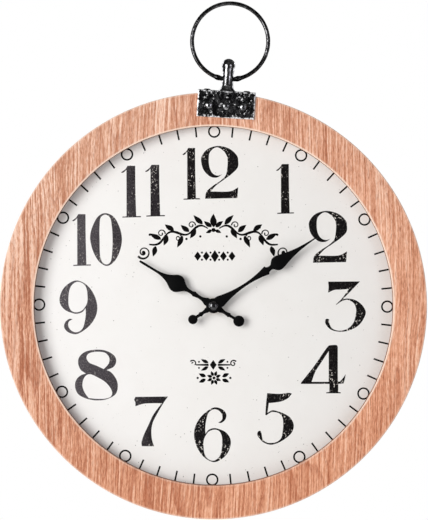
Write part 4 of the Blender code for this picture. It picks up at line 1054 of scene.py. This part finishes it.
# rosette with a leaf at each side
shapes = []
cx, cy = D(213.8, 377.6)
for k in range(8):
    a = 45 * k + 22.5
    px, py = polar(1.9, a, (cx, cy))
    shapes.append(leaf(px, py, a, 5.2, 3.1))
shapes.append(circle(1.4, 18, (cx, cy)))
for s in (-1, 1):
    shapes.append(leaf(cx + s * 7.8, cy + 1.2, 90 - s * 66, 7.4, 3.8))
    shapes.append(leaf(cx + s * 7.8, cy - 1.2, -90 + s * 66, 7.4, 3.8))
    shapes.append(circle(1.1, 12, (cx + s * 15.6, cy)))
ornament("rosette", shapes)

# small grey print specks, thicker towards the edge
b = Batch()
spots = 0
while spots < 210:
    r = 166.0 * math.sqrt(rng.uniform(0.06, 1.0))
    a = rng.uniform(0, 2 * math.pi)
    if rng.uniform() > (0.25 + 0.75 * (r / 166.0) ** 3):
        continue
    size = rng.uniform(0.16, 0.50)
    at = (r * math.cos(a), r * math.sin(a))
    lp = [(at[0] + size * rng.uniform(0.6, 1.25) * math.cos(t), at[1] + size * rng.uniform(0.6, 1.25) * math.sin(t))
          for t in [2 * math.pi * k / 7 for k in range(7)]]
    b.add(plate_data([lp], PAPER_Y - 0.02, PAPER_Y - 0.004))
    spots += 1
SPECK = simple("ink_speck", srgb(120, 116, 113)[:3], srgb(172, 167, 162)[:3], 300.0)
make("print_specks", b.verts, b.faces, [SPECK], "case", smooth=0)

# ---------------------------------------------------------------- hands
MINUTE_LEN, HOUR_LEN = 118.4, 82.3
minute_blade = [(MINUTE_LEN, 0.5, C), (110.0, 0.85), (105.0, 1.15), (100.0, 1.6), (96.0, 2.05), (90.0, 3.1), (84.0, 4.5),
                (79.5, 5.8), (76.6, 6.6), (73.8, 6.95), (71.4, 6.7), (69.5, 5.5), (68.0, 3.9), (66.6, 2.5),
                (65.0, 2.15), (63.0, 2.4), (61.6, 3.2), (61.0, 4.5, C), (57.0, 3.6), (54.0, 2.95), (48.0, 2.1),
                (43.0, 1.65), (37.0, 1.45), (30.0, 1.7), (24.0, 2.3), (18.0, 3.2), (12.5, 4.4), (8.2, 5.6, C)]
minute_tail = [(8.2, 2.5, C), (10.2, 1.75), (12.2, 1.5), (15.0, 2.35, C), (15.8, 1.6), (17.6, 1.4), (19.2, 1.5, C)]
hour_blade = [(HOUR_LEN, 0.8, C), (81.0, 1.15, C), (63.0, 1.2), (59.0, 1.5), (56.0, 2.15), (53.0, 2.95), (50.0, 4.2),
              (47.5, 5.7), (45.2, 7.2), (43.2, 8.1), (41.0, 8.45), (38.8, 8.15), (36.6, 7.0), (34.8, 5.5),
              (33.0, 3.9), (31.0, 2.6), (28.6, 1.85), (26.0, 1.65), (23.6, 1.8), (22.7, 2.1), (22.0, 2.6, C),
              (18.0, 1.8), (15.0, 1.6), (12.0, 2.05), (10.0, 2.8), (8.2, 3.8, C)]
hour_tail = [(8.2, 2.7, C), (10.2, 1.9), (12.2, 1.55), (14.5, 1.7), (17.4, 2.3, C), (18.2, 1.6), (20.5, 1.25), (22.9, 1.35, C)]


def hand_loop(blade, hub_r, tail, ball_at, ball_r, neck):
    side = smooth_loop([(p[1], p[0]) + tuple(p[2:]) for p in blade], 0.6, closed=False)
    a0, a1 = math.acos(blade[-1][1] / hub_r), -math.acos(tail[0][1] / hub_r)
    side += [(hub_r * math.cos(a0 + (a1 - a0) * i / 18), hub_r * math.sin(a0 + (a1 - a0) * i / 18)) for i in range(19)]
    side += smooth_loop([(p[1], -p[0]) + tuple(p[2:]) for p in tail], 0.5, closed=False)
    b0 = math.acos(neck / ball_r)
    side += [(ball_r * math.cos(b0 + (-math.pi / 2 - b0) * i / 24), -ball_at + ball_r * math.sin(b0 + (-math.pi / 2 - b0) * i / 24))
             for i in range(25)]
    mirror = [(-x, z) for x, z in reversed(side[:-1])]
    loop = side + mirror
    clean = [loop[0]]
    for p in loop[1:]:
        if math.hypot(p[0] - clean[-1][0], p[1] - clean[-1][1]) > 0.06:
            clean.append(p)
    return clean


def hand_matrix(degrees):
    return Matrix.Translation(CENTRE) @ Matrix.Rotation(math.radians(degrees), 4, 'Y') @ Matrix.Translation(-CENTRE)


v, f = plate_data([hand_loop(minute_blade, 7.0, minute_tail, 23.6, 4.5, 1.5), circle(3.6, 48)], -37.9, -37.3, 0.16, 3,
                  hand_matrix(MINUTE_ANGLE))
make("minute_pointer", v, f, [HAND], "minute", ["minute_hand"], smooth=25.0)
v, f = plate_data([hand_loop(hour_blade, 7.2, hour_tail, 28.2, 5.3, 1.35), circle(3.9, 48)], -35.3, -34.7, 0.16, 3,
                  hand_matrix(HOUR_ANGLE))
make("hour_pointer", v, f, [HAND], "hour", ["hour_hand"], smooth=25.0)
v, f = lathe_mesh([(3.3, -38.25), (3.25, -38.3), (1.7, -38.3), (1.7, -36.6), (4.5, -36.6), (4.6, -36.7), (4.6, -37.0), (3.3, -37.0)],
                  48, along_y(), closed=True)
make("minute_collet", v, f, [HAND], "minute", ["minute_hand_bush"])
v, f = lathe_mesh([(3.6, -35.75), (3.55, -35.8), (2.8, -35.8), (2.8, -34.0), (4.7, -34.0), (4.8, -34.1), (4.8, -34.4), (3.6, -34.4)],
                  48, along_y(), closed=True)
make("hour_collet", v, f, [HAND], "hour", ["hour_hand_bush"])
dome = [(0.0, -41.3)] + [(4.1 * math.sin(t), -39.2 - 2.1 * math.cos(t)) for t in [math.pi / 2 * i / 10 for i in range(1, 11)]]
dome += [(4.3, -39.15), (4.3, -38.7), (4.2, -38.6), (1.7, -38.6), (1.7, -40.5), (0.0, -40.5)]
v, f = lathe_mesh(dome, 48, along_y())
CAP = Mat("cap_black_gloss", rough=0.1, metal=1.0)
n_ = CAP.noise(CAP.co, 1300.0, 2.0)
CAP.set("Base Color", CAP.ramp(n_, [(0.3, (0.075, 0.075, 0.078)), (0.7, (0.12, 0.12, 0.123))]))
CAP.set("Roughness", CAP.span(n_, 0.3, 0.7, 0.10, 0.16))
make("cap_screw", v, f, [CAP.m], "minute", ["cap_nut"])

# ---------------------------------------------------------------- iron bracket
X_HALF, LOW_R = 27.6, 178.7
path = []                                         # (y, r, inward y, inward r) along the strap
n_front = 46
for i in range(n_front + 1):
    r = LOW_R + (203.55 - LOW_R) * i / n_front
    path.append(((-43.8, r), (-42.3, min(r, 203.3))))
for i in range(1, 6):
    t = math.pi / 2 * i / 6
    path.append(((-43.8 + 1.25 * (1 - math.cos(t)), 203.55 + 1.25 * math.sin(t)), (-42.3, 203.3)))
n_top = 40
for i in range(n_top + 1):
    y = -42.55 + (-14.0 + 42.55) * i / n_top
    path.append(((y, 204.8), (max(y, -42.3), 203.3)))
inner_rows = []                                   # indices of the path rows used on the inner face
n_x = 84
verts, faces, wear = [], [], []
outer_id = {}


def edge_soft(u):
    """How far the surface drops towards an edge, u = distance to it."""
    return 0.42 * max(0.0, 1.0 - u / 1.0) ** 2


total = len(path)
for i, (o, _) in enumerate(path):
    for j in range(n_x + 1):
        x = -X_HALF + 2 * X_HALF * j / n_x
        y, r = o
        side_gap = min(x + X_HALF, X_HALF - x)
        end_gap = min(r - LOW_R, -14.0 - y if y > -42.5 else 99.0)
        gap = min(side_gap, end_gap)
        top = i > n_front + 5
        bend = 1.0 if n_front <= i <= n_front + 6 else 0.0
        p0 = Vector((x, y, r))
        ham = pits(p0, 0.20, 3.0) * 0.30 + pits(p0, 0.55, 9.0) * 0.14
        drop = edge_soft(gap) + max(0.0, 0.10 + ham) * 0.8
        if top:
            r -= drop
        elif bend:
            r -= drop * 0.5
            y += drop * 0.5
        else:
            y += drop
        xw = x
        if side_gap < 0.2:
            xw = x - math.copysign(0.10 + 0.22 * abs(pits(Vector((0.0, y, r)), 0.35, 5.0 if x > 0 else 12.0)), x)
        if i == 0:
            r += 0.12 + 0.30 * abs(pits(Vector((x, 0.0, 0.0)), 0.30, 21.0))
        outer_id[(i, j)] = len(verts)
        verts.append(TURN @ W(xw, y, r))
        near = max(0.0, 1.0 - gap / 2.0)
        wear.append(min(1.0, 0.85 * near + 0.55 * bend + 0.9 * max(0.0, -ham - 0.10)))
    continue
# a thinned list of rows for the inner face; it is not used, and the inner face below takes every row, sharing points
# where the inward path repeats
keep = [0] + list(range(2, n_front, 4)) + [n_front] + list(range(n_front + 7, total, 4))
if keep[-1] != total - 1:
    keep.append(total - 1)
strap_bm = bmesh.new()
wl = strap_bm.verts.layers.float.new("wear")
ov = [strap_bm.verts.new(p) for p in verts]
for bv, wv in zip(ov, wear):
    bv[wl] = wv
for i in range(total - 1):
    for j in range(n_x):
        strap_bm.faces.new((ov[outer_id[(i, j)]], ov[outer_id[(i, j + 1)]], ov[outer_id[(i + 1, j + 1)]], ov[outer_id[(i + 1, j)]]))
iv = {}
for i, (_, q) in enumerate(path):
    for j in range(n_x + 1):
        x = -X_HALF + 2 * X_HALF * j / n_x
        key = (round(q[0], 4), round(q[1], 4), j)
        if key not in iv:
            xi = max(-X_HALF + 0.15, min(X_HALF - 0.15, x))
            iv[key] = strap_bm.verts.new(TURN @ W(xi, q[0], q[1] + (0.2 if i == 0 else 0.0)))
            iv[key][wl] = 0.0


def inner(i, j):
    q = path[i][1]
    return iv[(round(q[0], 4), round(q[1], 4), j)]


def quad(*vs):
    uniq = []
    for q in vs:
        if q not in uniq:
            uniq.append(q)
    if len(uniq) >= 3:
        strap_bm.faces.new(uniq)


for i in range(total - 1):
    for j in range(n_x):
        quad(inner(i, j), inner(i + 1, j), inner(i + 1, j + 1), inner(i, j + 1))
    quad(ov[outer_id[(i, 0)]], ov[outer_id[(i + 1, 0)]], inner(i + 1, 0), inner(i, 0))
    quad(ov[outer_id[(i, n_x)]], inner(i, n_x), inner(i + 1, n_x), ov[outer_id[(i + 1, n_x)]])
for j in range(n_x):
    quad(ov[outer_id[(0, j)]], inner(0, j), inner(0, j + 1), ov[outer_id[(0, j + 1)]])
    quad(ov[outer_id[(total - 1, j)]], ov[outer_id[(total - 1, j + 1)]], inner(total - 1, j + 1), inner(total - 1, j))
bmesh.ops.recalc_face_normals(strap_bm, faces=strap_bm.faces)
me = bpy.data.meshes.new("strap_plate")
strap_bm.to_mesh(me)
strap_bm.free()
strap = bpy.data.objects.new("strap_plate", me)
bpy.context.scene.collection.objects.link(strap)
me.materials.append(IRON_WORN)
holes = []
for k in (-1, 0, 1):
    hv, hf = lathe_mesh([(0, -47.0), (1.4, -47.0), (1.4, -36.0), (0, -36.0)], 20, along_y((k * RIVET_PITCH, RIVET_AT), True))
    holes.append(make("c", hv, hf, [], None))
for s in (-1, 1):
    hv, hf = lathe_mesh([(0, 190.0), (1.7, 190.0), (1.7, 208.0), (0, 208.0)], 20, upright(s * 19.0))
    holes.append(make("c", hv, hf, [], None))
hv, hf = lathe_mesh([(0, 190.0), (3.4, 190.0), (3.4, 208.0), (0, 208.0)], 28, upright(0.0))
holes.append(make("c", hv, hf, [], None))
cut(strap, holes, smooth=50.0)
enrol(strap, "case", ["bracket_strap"])


def roughen(verts, centre_of, scale, amount, seed):
    out = []
    for p in verts:
        q = p / MM
        c = centre_of(q)
        d = q - c
        if d.length < 1e-6:
            out.append(p)
            continue
        k = pits(q, scale, seed) * 0.65 + pits(q, scale * 2.7, seed + 4) * 0.35
        out.append((q - d.normalized() * (amount * (0.5 + k))) * MM)
    return out


for k, side, seed in ((-1, "left", 6.0), (0, "centre", 15.0), (1, "right", 8.0)):
    y = -44.15
    prof = [(0.0, y - 2.6)]
    for i in range(1, 11):
        t = i / 10 * math.pi / 2
        prof.append((4.1 * math.sin(t), y - 0.25 - 2.35 * math.cos(t)))
    prof += [(4.0, y), (1.05, y), (1.05, -37.4), (0.0, -36.4)]
    v, f = lathe_mesh(prof, 36, along_y((k * RIVET_PITCH, RIVET_AT), True))
    head = TURN @ W(k * RIVET_PITCH, y, RIVET_AT)
    v = [p if p.y / MM > y - 0.05 else roughen([p], lambda q: head / MM, 0.45, 0.30, seed)[0] for p in v]
    make("rivet_" + side, v, f, [IRON_LIT_COPY], "case", ["bracket_rivet_" + side], smooth=50.0)

# post: flared foot, barrel, ball, with the ring's hole across it
foot = 205.1
prof = [(0.0, 188.0), (2.6, 188.5), (3.05, 189.2), (3.05, foot), (7.9, foot), (8.3, foot + 0.2), (8.3, foot + 0.55), (8.0, foot + 0.95),
        (7.4, foot + 1.3), (6.9, foot + 1.9), (6.5, foot + 2.7), (6.15, foot + 3.6), (5.9, foot + 4.6), (5.7, foot + 5.7),
        (5.6, foot + 6.8), (5.52, foot + 8.2), (5.5, foot + 9.6), (5.5, foot + 11.0), (5.5, foot + 12.6), (5.5, 220.5),
        (5.5, 222.1), (5.55, 223.7), (5.75, 225.0), (6.05, 226.2)]
for i in range(1, 14):
    t = math.radians(-30 + i * 120 / 14)
    if t > math.radians(-26):
        prof.append((6.5 * math.cos(t), BALL_AT + 6.5 * math.sin(t)))
prof.append((0.0, BALL_AT + 6.5))
v, f = lathe_mesh(prof, 56, upright(0.0))
inv = TURN.inverted()


def axis_point(q):
    local = (inv @ (q * MM)) / MM
    return (TURN @ Vector((0.0, POST_Y * MM, local.z * MM))) / MM


v = [p if (inv @ p).z / MM - CZ < foot + 0.3 else roughen([p], axis_point, 0.35, 0.14, 15.0)[0] for p in v]
post = make("ring_post_turned", v, f, [IRON_LIT_COPY], None, smooth=50.0)
hv, hf = [], []
rows = []
for x in (-12, 12):
    start = len(hv)
    for i in range(32):
        a = 2 * math.pi * i / 32
        hv.append(TURN @ W(x, POST_Y + 2.75 * math.cos(a), RING_LOW + 0.22 + 2.75 * math.sin(a)))
    rows.append(range(start, start + 32))
hf.append(tuple(rows[0]))
hf.append(tuple(reversed(rows[1])))
for i in range(32):
    j = (i + 1) % 32
    hf.append((rows[0][i], rows[0][j], rows[1][j], rows[1][i]))
cut(post, [make("c", hv, hf, [], None)], smooth=50.0)
enrol(post, "case", ["ring_post"])

# ring: round wire with a stop swelling on each side of the post
around, across = 220, 22
verts, faces = [], []
for i in range(around):
    a = 2 * math.pi * i / around - math.pi / 2
    travel = abs(math.atan2(math.sin(a + math.pi / 2), math.cos(a + math.pi / 2))) * 36.4
    w0 = 2.0 * (1.0 + 0.38 * math.exp(-((travel - 9.6) / 2.6) ** 2))
    cx, cz = 36.4 * math.cos(a), RING_LOW + 36.4 * (1 + math.sin(a))
    for k in range(across):
        bb = 2 * math.pi * k / across
        q = Vector((cx + w0 * math.cos(bb) * math.cos(a), POST_Y + w0 * math.sin(bb), cz + w0 * math.cos(bb) * math.sin(a)))
        near_post = travel < 7.0
        dent = 0.0 if near_post else (pits(q, 0.30, 31.0) * 0.6 + pits(q, 0.85, 35.0) * 0.4)
        w = w0 - (0.0 if near_post else 0.07 * (0.5 + dent) * 1.6)
        verts.append(TURN @ W(cx + w * math.cos(bb) * math.cos(a), POST_Y + w * math.sin(bb), cz + w * math.cos(bb) * math.sin(a)))
for i in range(around):
    for k in range(across):
        a0, a1 = i * across, ((i + 1) % around) * across
        m = (k + 1) % across
        faces.append((a0 + k, a1 + k, a1 + m, a0 + m))
make("ring_wire", verts, faces, [IRON], "ring", ["hanging_ring"], smooth=60.0)


def cross_recess(place, top, size, depth):
    """Two crossed slots that cut a screw's recess; place maps (u, v, h)."""
    out = []
    for a in (0, math.pi / 2):
        pts = []
        for h, s in ((top + depth * 0.4, 1.0), (top - depth, 0.45)):
            for u, w in ((-size, -0.38), (size, -0.38), (size, 0.38), (-size, 0.38)):
                u, w = u * s, w * (0.9 if s < 1 else 1.0)
                pts.append(place(u * math.cos(a) - w * math.sin(a), u * math.sin(a) + w * math.cos(a), h))
        ff = [(0, 1, 2, 3), (7, 6, 5, 4), (0, 4, 5, 1), (1, 5, 6, 2), (2, 6, 7, 3), (3, 7, 4, 0)]
        out.append(make("c", pts, ff, [], None, smooth=0))
    return out


for s, side in ((-1, "left"), (1, "right")):
    prof = [(0.0, 190.6), (1.3, 191.8), (1.3, 205.1), (3.2, 205.1), (3.4, 205.25), (3.35, 205.8), (3.0, 206.3), (2.2, 206.65), (0.0, 206.8)]
    v, f = lathe_mesh(prof, 32, upright(s * 19.0))
    ob = make("strap_screw_head_" + side, v, f, [IRON], None)
    cut(ob, cross_recess(upright(s * 19.0), 206.8, 1.9, 1.0))
    enrol(ob, "case", ["strap_screw_" + side])

# ---------------------------------------------------------------- hanger and its screws
keyhole = []
half_open = math.asin(2.4 / 4.3)
for i in range(33):
    a = math.pi / 2 - half_open - i * (2 * math.pi - 2 * half_open) / 32
    keyhole.append((4.3 * math.cos(a), HZ - 7.9 + 4.3 * math.sin(a)))
for i in range(17):
    a = math.pi - i * math.pi / 16
    keyhole.append((2.4 * math.cos(a), HZ + 2.4 * math.sin(a)))


def round_rect(x0, x1, z0, z1, r, n=6):
    out = []
    for cx, cz, s in ((x1 - r, z1 - r, 0), (x0 + r, z1 - r, 90), (x0 + r, z0 + r, 180), (x1 - r, z0 + r, 270)):
        out += [(cx + r * math.cos(math.radians(s + 90 * i / n)), cz + r * math.sin(math.radians(s + 90 * i / n))) for i in range(n + 1)]
    return out


v, f = plate_data([round_rect(-17.0, 17.0, HZ - 13.0, HZ + 3.9, 1.2), keyhole]
                  + [circle(1.8, 24, (s * 12.4, HZ - 5.0)) for s in (-1, 1)], -3.0, -1.5, 0.0, 3, None, 0.25)
make("keyhole_plate", v, f, [ZINC], "case", ["hanger_plate"], smooth=25.0)
for s, side in ((-1, "left"), (1, "right")):
    at = (s * 12.4, HZ - 5.0)
    prof = [(0.0, -14.4), (1.2, -13.2), (1.2, -1.2), (2.9, -1.2), (3.1, -1.05), (3.0, -0.7), (2.5, -0.42), (1.6, -0.27), (0.0, -0.2)]
    v, f = lathe_mesh(prof, 32, along_y(at))
    ob = make("keyhole_screw_" + side, v, f, [ZINC], None)
    cut(ob, cross_recess(along_y(at), -0.2, 1.7, 0.75))
    enrol(ob, "case", ["hanger_screw_" + side])
for i, at in enumerate(screw_at):
    prof = [(0.0, -36.6), (1.1, -35.2), (1.1, -22.7), (3.7, -22.7), (3.9, -22.5), (3.8, -21.7), (3.3, -21.0), (2.3, -20.55), (0.0, -20.4)]
    v, f = lathe_mesh(prof, 32, along_y(at))
    ob = make("pan_screw_%d" % (i + 1), v, f, [ZINC], None)
    cut(ob, cross_recess(along_y(at), -20.4, 2.1, 1.1))
    enrol(ob, "case", ["board_screw_%d" % (i + 1)])

# ---------------------------------------------------------------- movement
H, WALL = 28.0, 1.2
BAY = (-26.8, 26.8, -26.8, -12.3)
v, f = plate_data([round_rect(-H, H, -H, H, 3.0, 8)], -16.9, -5.4, 0.0, 3, None, 0.8)
cover = make("works_cover", v, f, [BLACK_ABS], None)
room = [(-H + WALL, -11.2), (H - WALL, -11.2), (H - WALL, H - WALL - 2.0), (H - WALL - 2.0, H - WALL),
        (-H + WALL + 2.0, H - WALL), (-H + WALL, H - WALL - 2.0)]
rv, rf = plate_data([room], -19.9, -5.4 - WALL)
cutters = [make("c", rv, rf, [], None, smooth=0),
           box_cutter(BAY[0], BAY[1], -19.9, -2.4, BAY[2], BAY[3])]
hv, hf = lathe_mesh([(0, -8.4), (2.2, -8.4), (2.2, -2.4), (0, -2.4)], 32, along_y(SETTING_AT))
cutters.append(make("c", hv, hf, [], None))
# shallow moulded details on the back: a sunk ring round the knob and three vent slots
hv, hf = lathe_mesh([(6.6, -5.75), (7.5, -5.75), (7.5, -4.0), (6.6, -4.0)], 48, along_y(SETTING_AT), closed=True)
cutters.append(make("c", hv, hf, [], None))
for k in range(5):
    x0 = 4.0 + 4.2 * k
    rv, rf = plate_data([round_rect(x0, x0 + 1.5, 12.0, 22.0, 0.7, 4)], -5.75, -4.0)
    cutters.append(make("c", rv, rf, [], None, smooth=0))
rv, rf = plate_data([round_rect(-24.0, 24.0, -10.3, -9.5, 0.35, 3)], -5.7, -4.0)
cutters.append(make("c", rv, rf, [], None, smooth=0))
cut(cover, cutters, smooth=30.0)
enrol(cover, "case", ["movement_rear_cover"])

v, f = plate_data([round_rect(-H, H, -H, H, 3.0, 8), circle(4.35, 40)], -21.4, -17.2, 0.8, 3)
front = make("works_front", v, f, [BLACK_ABS], None)
rv, rf = plate_data([round_rect(-H + WALL, H - WALL, -H + WALL, H - WALL, 2.0, 6)], -21.4 + WALL, -14.2)
cut(front, [make("c", rv, rf, [], None, smooth=0)], smooth=30.0)
enrol(front, "case", ["movement_front_cover"])

# setting knob with finger flutes
loop = []
for i in range(240):
    a = 2 * math.pi * i / 240
    d = (a * 24 / (2 * math.pi)) % 1.0 - 0.5
    loop.append((SETTING_AT[0] + (5.5 - 0.42 * math.exp(-(d / 0.20) ** 2)) * math.cos(a),
                 SETTING_AT[1] + (5.5 - 0.42 * math.exp(-(d / 0.20) ** 2)) * math.sin(a)))
v, f = plate_data([loop], -5.1, -2.1, 0.0, 3, None, 0.35)
knob = make("set_knob", v, f, [BLACK_ABS], None)
sv, sf = lathe_mesh([(0.0, -19.8), (0.8, -19.8), (0.8, -4.6), (0.0, -4.6)], 28, along_y(SETTING_AT))
shaft = make("c", sv, sf, [], None)
cut(knob, [shaft], 'UNION', smooth=30.0)
hv, hf = lathe_mesh([(0.0, -2.55), (3.6, -2.55), (3.9, -1.9), (0.0, -1.9)], 40, along_y(SETTING_AT))
cut(knob, [make("c", hv, hf, [], None)], smooth=30.0)
enrol(knob, "setting", ["setting_knob"])

# dry cell: sleeve with rolled ends, bare steel caps
CY, CELZ = -12.8, -19.55
prof = [(0.0, -24.2), (4.6, -24.2), (4.8, -24.05), (6.1, -24.05), (6.35, -24.2), (6.7, -24.2), (7.0, -23.95), (7.1, -23.6), (7.1, 24.0),
        (7.0, 24.35), (6.7, 24.6), (6.3, 24.6), (6.1, 24.75), (5.6, 24.9), (3.3, 24.9), (2.95, 25.0), (2.75, 25.2), (2.75, 25.75),
        (2.55, 25.9), (0.0, 25.9)]
v, f = lathe_mesh(prof, 56, along_x(CY, CELZ))
cell = make("dry_cell", v, f, [CELL, ZINC], None)
for p in cell.data.polygons:
    x, r = p.center.x / MM, math.hypot(p.center.y / MM - CY, (p.center.z / MM - CZ) - CELZ)
    p.material_index = 1 if (r < 6.2 and (x < -23.9 or x > 24.5)) else 0
enrol(cell, "battery", ["battery_cell"])

# brass bush with its thread, washer and nut behind the hands
prof = []
y = -33.0
while y < -20.2:
    prof += [(3.72, y), (4.0, y + 0.375)]
    y += 0.75
prof = [(2.8, -33.0)] + [(3.45, -33.0)] + [(r, yy + 0.2) for r, yy in prof if yy + 0.2 < -19.95] + [(4.0, -19.9), (5.6, -19.9), (5.6, -19.0), (2.8, -19.0)]
v, f = lathe_mesh(prof, 40, along_y(), closed=True)
make("bush_thread", v, f, [BRASS], "case", ["threaded_bush"], smooth=20.0)
v, f = plate_data([circle(6.35, 6, start=math.pi / 6), circle(4.3, 40)], -32.0, -29.8, 0.3, 2)
make("hex_nut", v, f, [BRASS], "case", ["dial_nut"], smooth=25.0)

# ---------------------------------------------------------------- materials of the pieces kept from the CAD
keep_mats = {
    "middle_plate": WHITE_POM, "rubber_washer": RUBBER, "dial_washer": BRASS, "stator_plate": SILICON, "coil_core": SILICON,
    "coil_bobbin": WHITE_POM, "coil_winding": COPPER, "circuit_board": PCB, "chip_cover": EPOXY, "quartz_crystal": ZINC,
    "positive_contact": ZINC, "negative_spring": ZINC, "minute_arbor": ARBOR, "centre_wheel": WHITE_POM,
    "hour_wheel": WHITE_POM, "minute_wheel": WHITE_POM, "setting_pinion": WHITE_POM, "third_wheel": WHITE_POM,
    "seconds_wheel": WHITE_POM, "fifth_wheel": WHITE_POM, "rotor_pinion": WHITE_POM, "rotor_magnet": FERRITE,
}
for name, m in keep_mats.items():
    ob = nodes[name]
    if not ob.data.materials:
        ob.data.materials.append(m)
    for s in ob.material_slots:
        s.material = m

# ---------------------------------------------------------------- floor, light and camera
FLOOR_Z = -0.95
v, f = [], []
v.append(Vector((0, 0, FLOOR_Z)))
rings = [0.25, 0.5, 0.75, 1.0, 1.25, 1.5]
for r in rings:
    for i in range(64):
        a = 2 * math.pi * i / 64
        v.append(Vector((r * math.cos(a), r * math.sin(a) - 0.2, FLOOR_Z)))
for i in range(64):
    f.append((0, 1 + i, 1 + (i + 1) % 64))
for k in range(len(rings) - 1):
    for i in range(64):
        j = (i + 1) % 64
        f.append((1 + k * 64 + i, 1 + (k + 1) * 64 + i, 1 + (k + 1) * 64 + j, 1 + k * 64 + j))
FLOOR = Mat("studio_floor", rough=0.8)
n_ = FLOOR.noise(FLOOR.co, 3.0, 3.0)
FLOOR.set("Base Color", FLOOR.ramp(n_, [(0.3, (0.80, 0.80, 0.80)), (0.7, (0.84, 0.84, 0.84))]))
floor = make("studio_floor", v, f, [FLOOR.m], None)
if floor.data.polygons[0].normal.z < 0:
    floor.data.flip_normals()

bpy.context.scene.view_settings.view_transform = 'Standard'
AMBIENT, GLOSS_AMBIENT = 0.24, 0.12
world = bpy.data.worlds.new("studio")
bpy.context.scene.world = world
world.use_nodes = True
nt = world.node_tree
bg = nt.nodes["Background"]
bg.inputs["Color"].default_value = (1.0, 1.0, 1.0, 1.0)
lp = nt.nodes.new("ShaderNodeLightPath")
seen = nt.nodes.new("ShaderNodeMath")          # pure white behind the object, softer light on it
seen.operation = 'MULTIPLY_ADD'
seen.inputs[1].default_value = 1.0 - AMBIENT
seen.inputs[2].default_value = AMBIENT
gloss = nt.nodes.new("ShaderNodeMath")
gloss.operation = 'MULTIPLY_ADD'
gloss.inputs[1].default_value = GLOSS_AMBIENT - AMBIENT
nt.links.new(lp.outputs["Is Camera Ray"], seen.inputs[0])
nt.links.new(lp.outputs["Is Glossy Ray"], gloss.inputs[0])
nt.links.new(seen.outputs[0], gloss.inputs[2])
nt.links.new(gloss.outputs[0], bg.inputs["Strength"])


def area_light(name, at, target, size, power, color=(1, 1, 1)):
    d = bpy.data.lights.new(name, 'AREA')
    d.shape = 'RECTANGLE'
    d.size, d.size_y = size
    d.energy = power
    d.color = color
    o = bpy.data.objects.new(name, d)
    bpy.context.scene.collection.objects.link(o)
    at, target = Vector(at), Vector(target)
    o.location = at
    o.rotation_euler = (target - at).to_track_quat('-Z', 'Y').to_euler()
    return o


mid = Vector((0.0, -0.03, CZ * MM))
area_light("key", mid + Vector((-1.46, -1.70, 0.24)), mid, (1.30, 1.5), 43.2)
area_light("fill", mid + Vector((1.5, -1.9, 0.1)), mid, (1.0, 1.4), 5.5, (0.93, 0.91, 1.0))
area_light("glint", mid + Vector((1.5, -1.25, -0.75)), mid, (0.22, 0.5), 1.4)
area_light("back_left", mid + Vector((-1.3, 1.7, 0.8)), mid, (1.4, 1.4), 30.0)
area_light("back_right", mid + Vector((1.5, 1.5, 0.2)), mid, (1.2, 1.4), 22.0)

cam = bpy.data.cameras.new("camera")
cam.lens = 218.5
cam.sensor_width = 36.0
cam_ob = bpy.data.objects.new("camera", cam)
cam_ob.location = (0.00046, -3.042, -0.15292)
cam_ob.rotation_euler = (math.pi / 2, 0.0, 0.0)
cam.clip_start, cam.clip_end = 0.05, 50.0
bpy.context.scene.collection.objects.link(cam_ob)
bpy.context.scene.camera = cam_ob
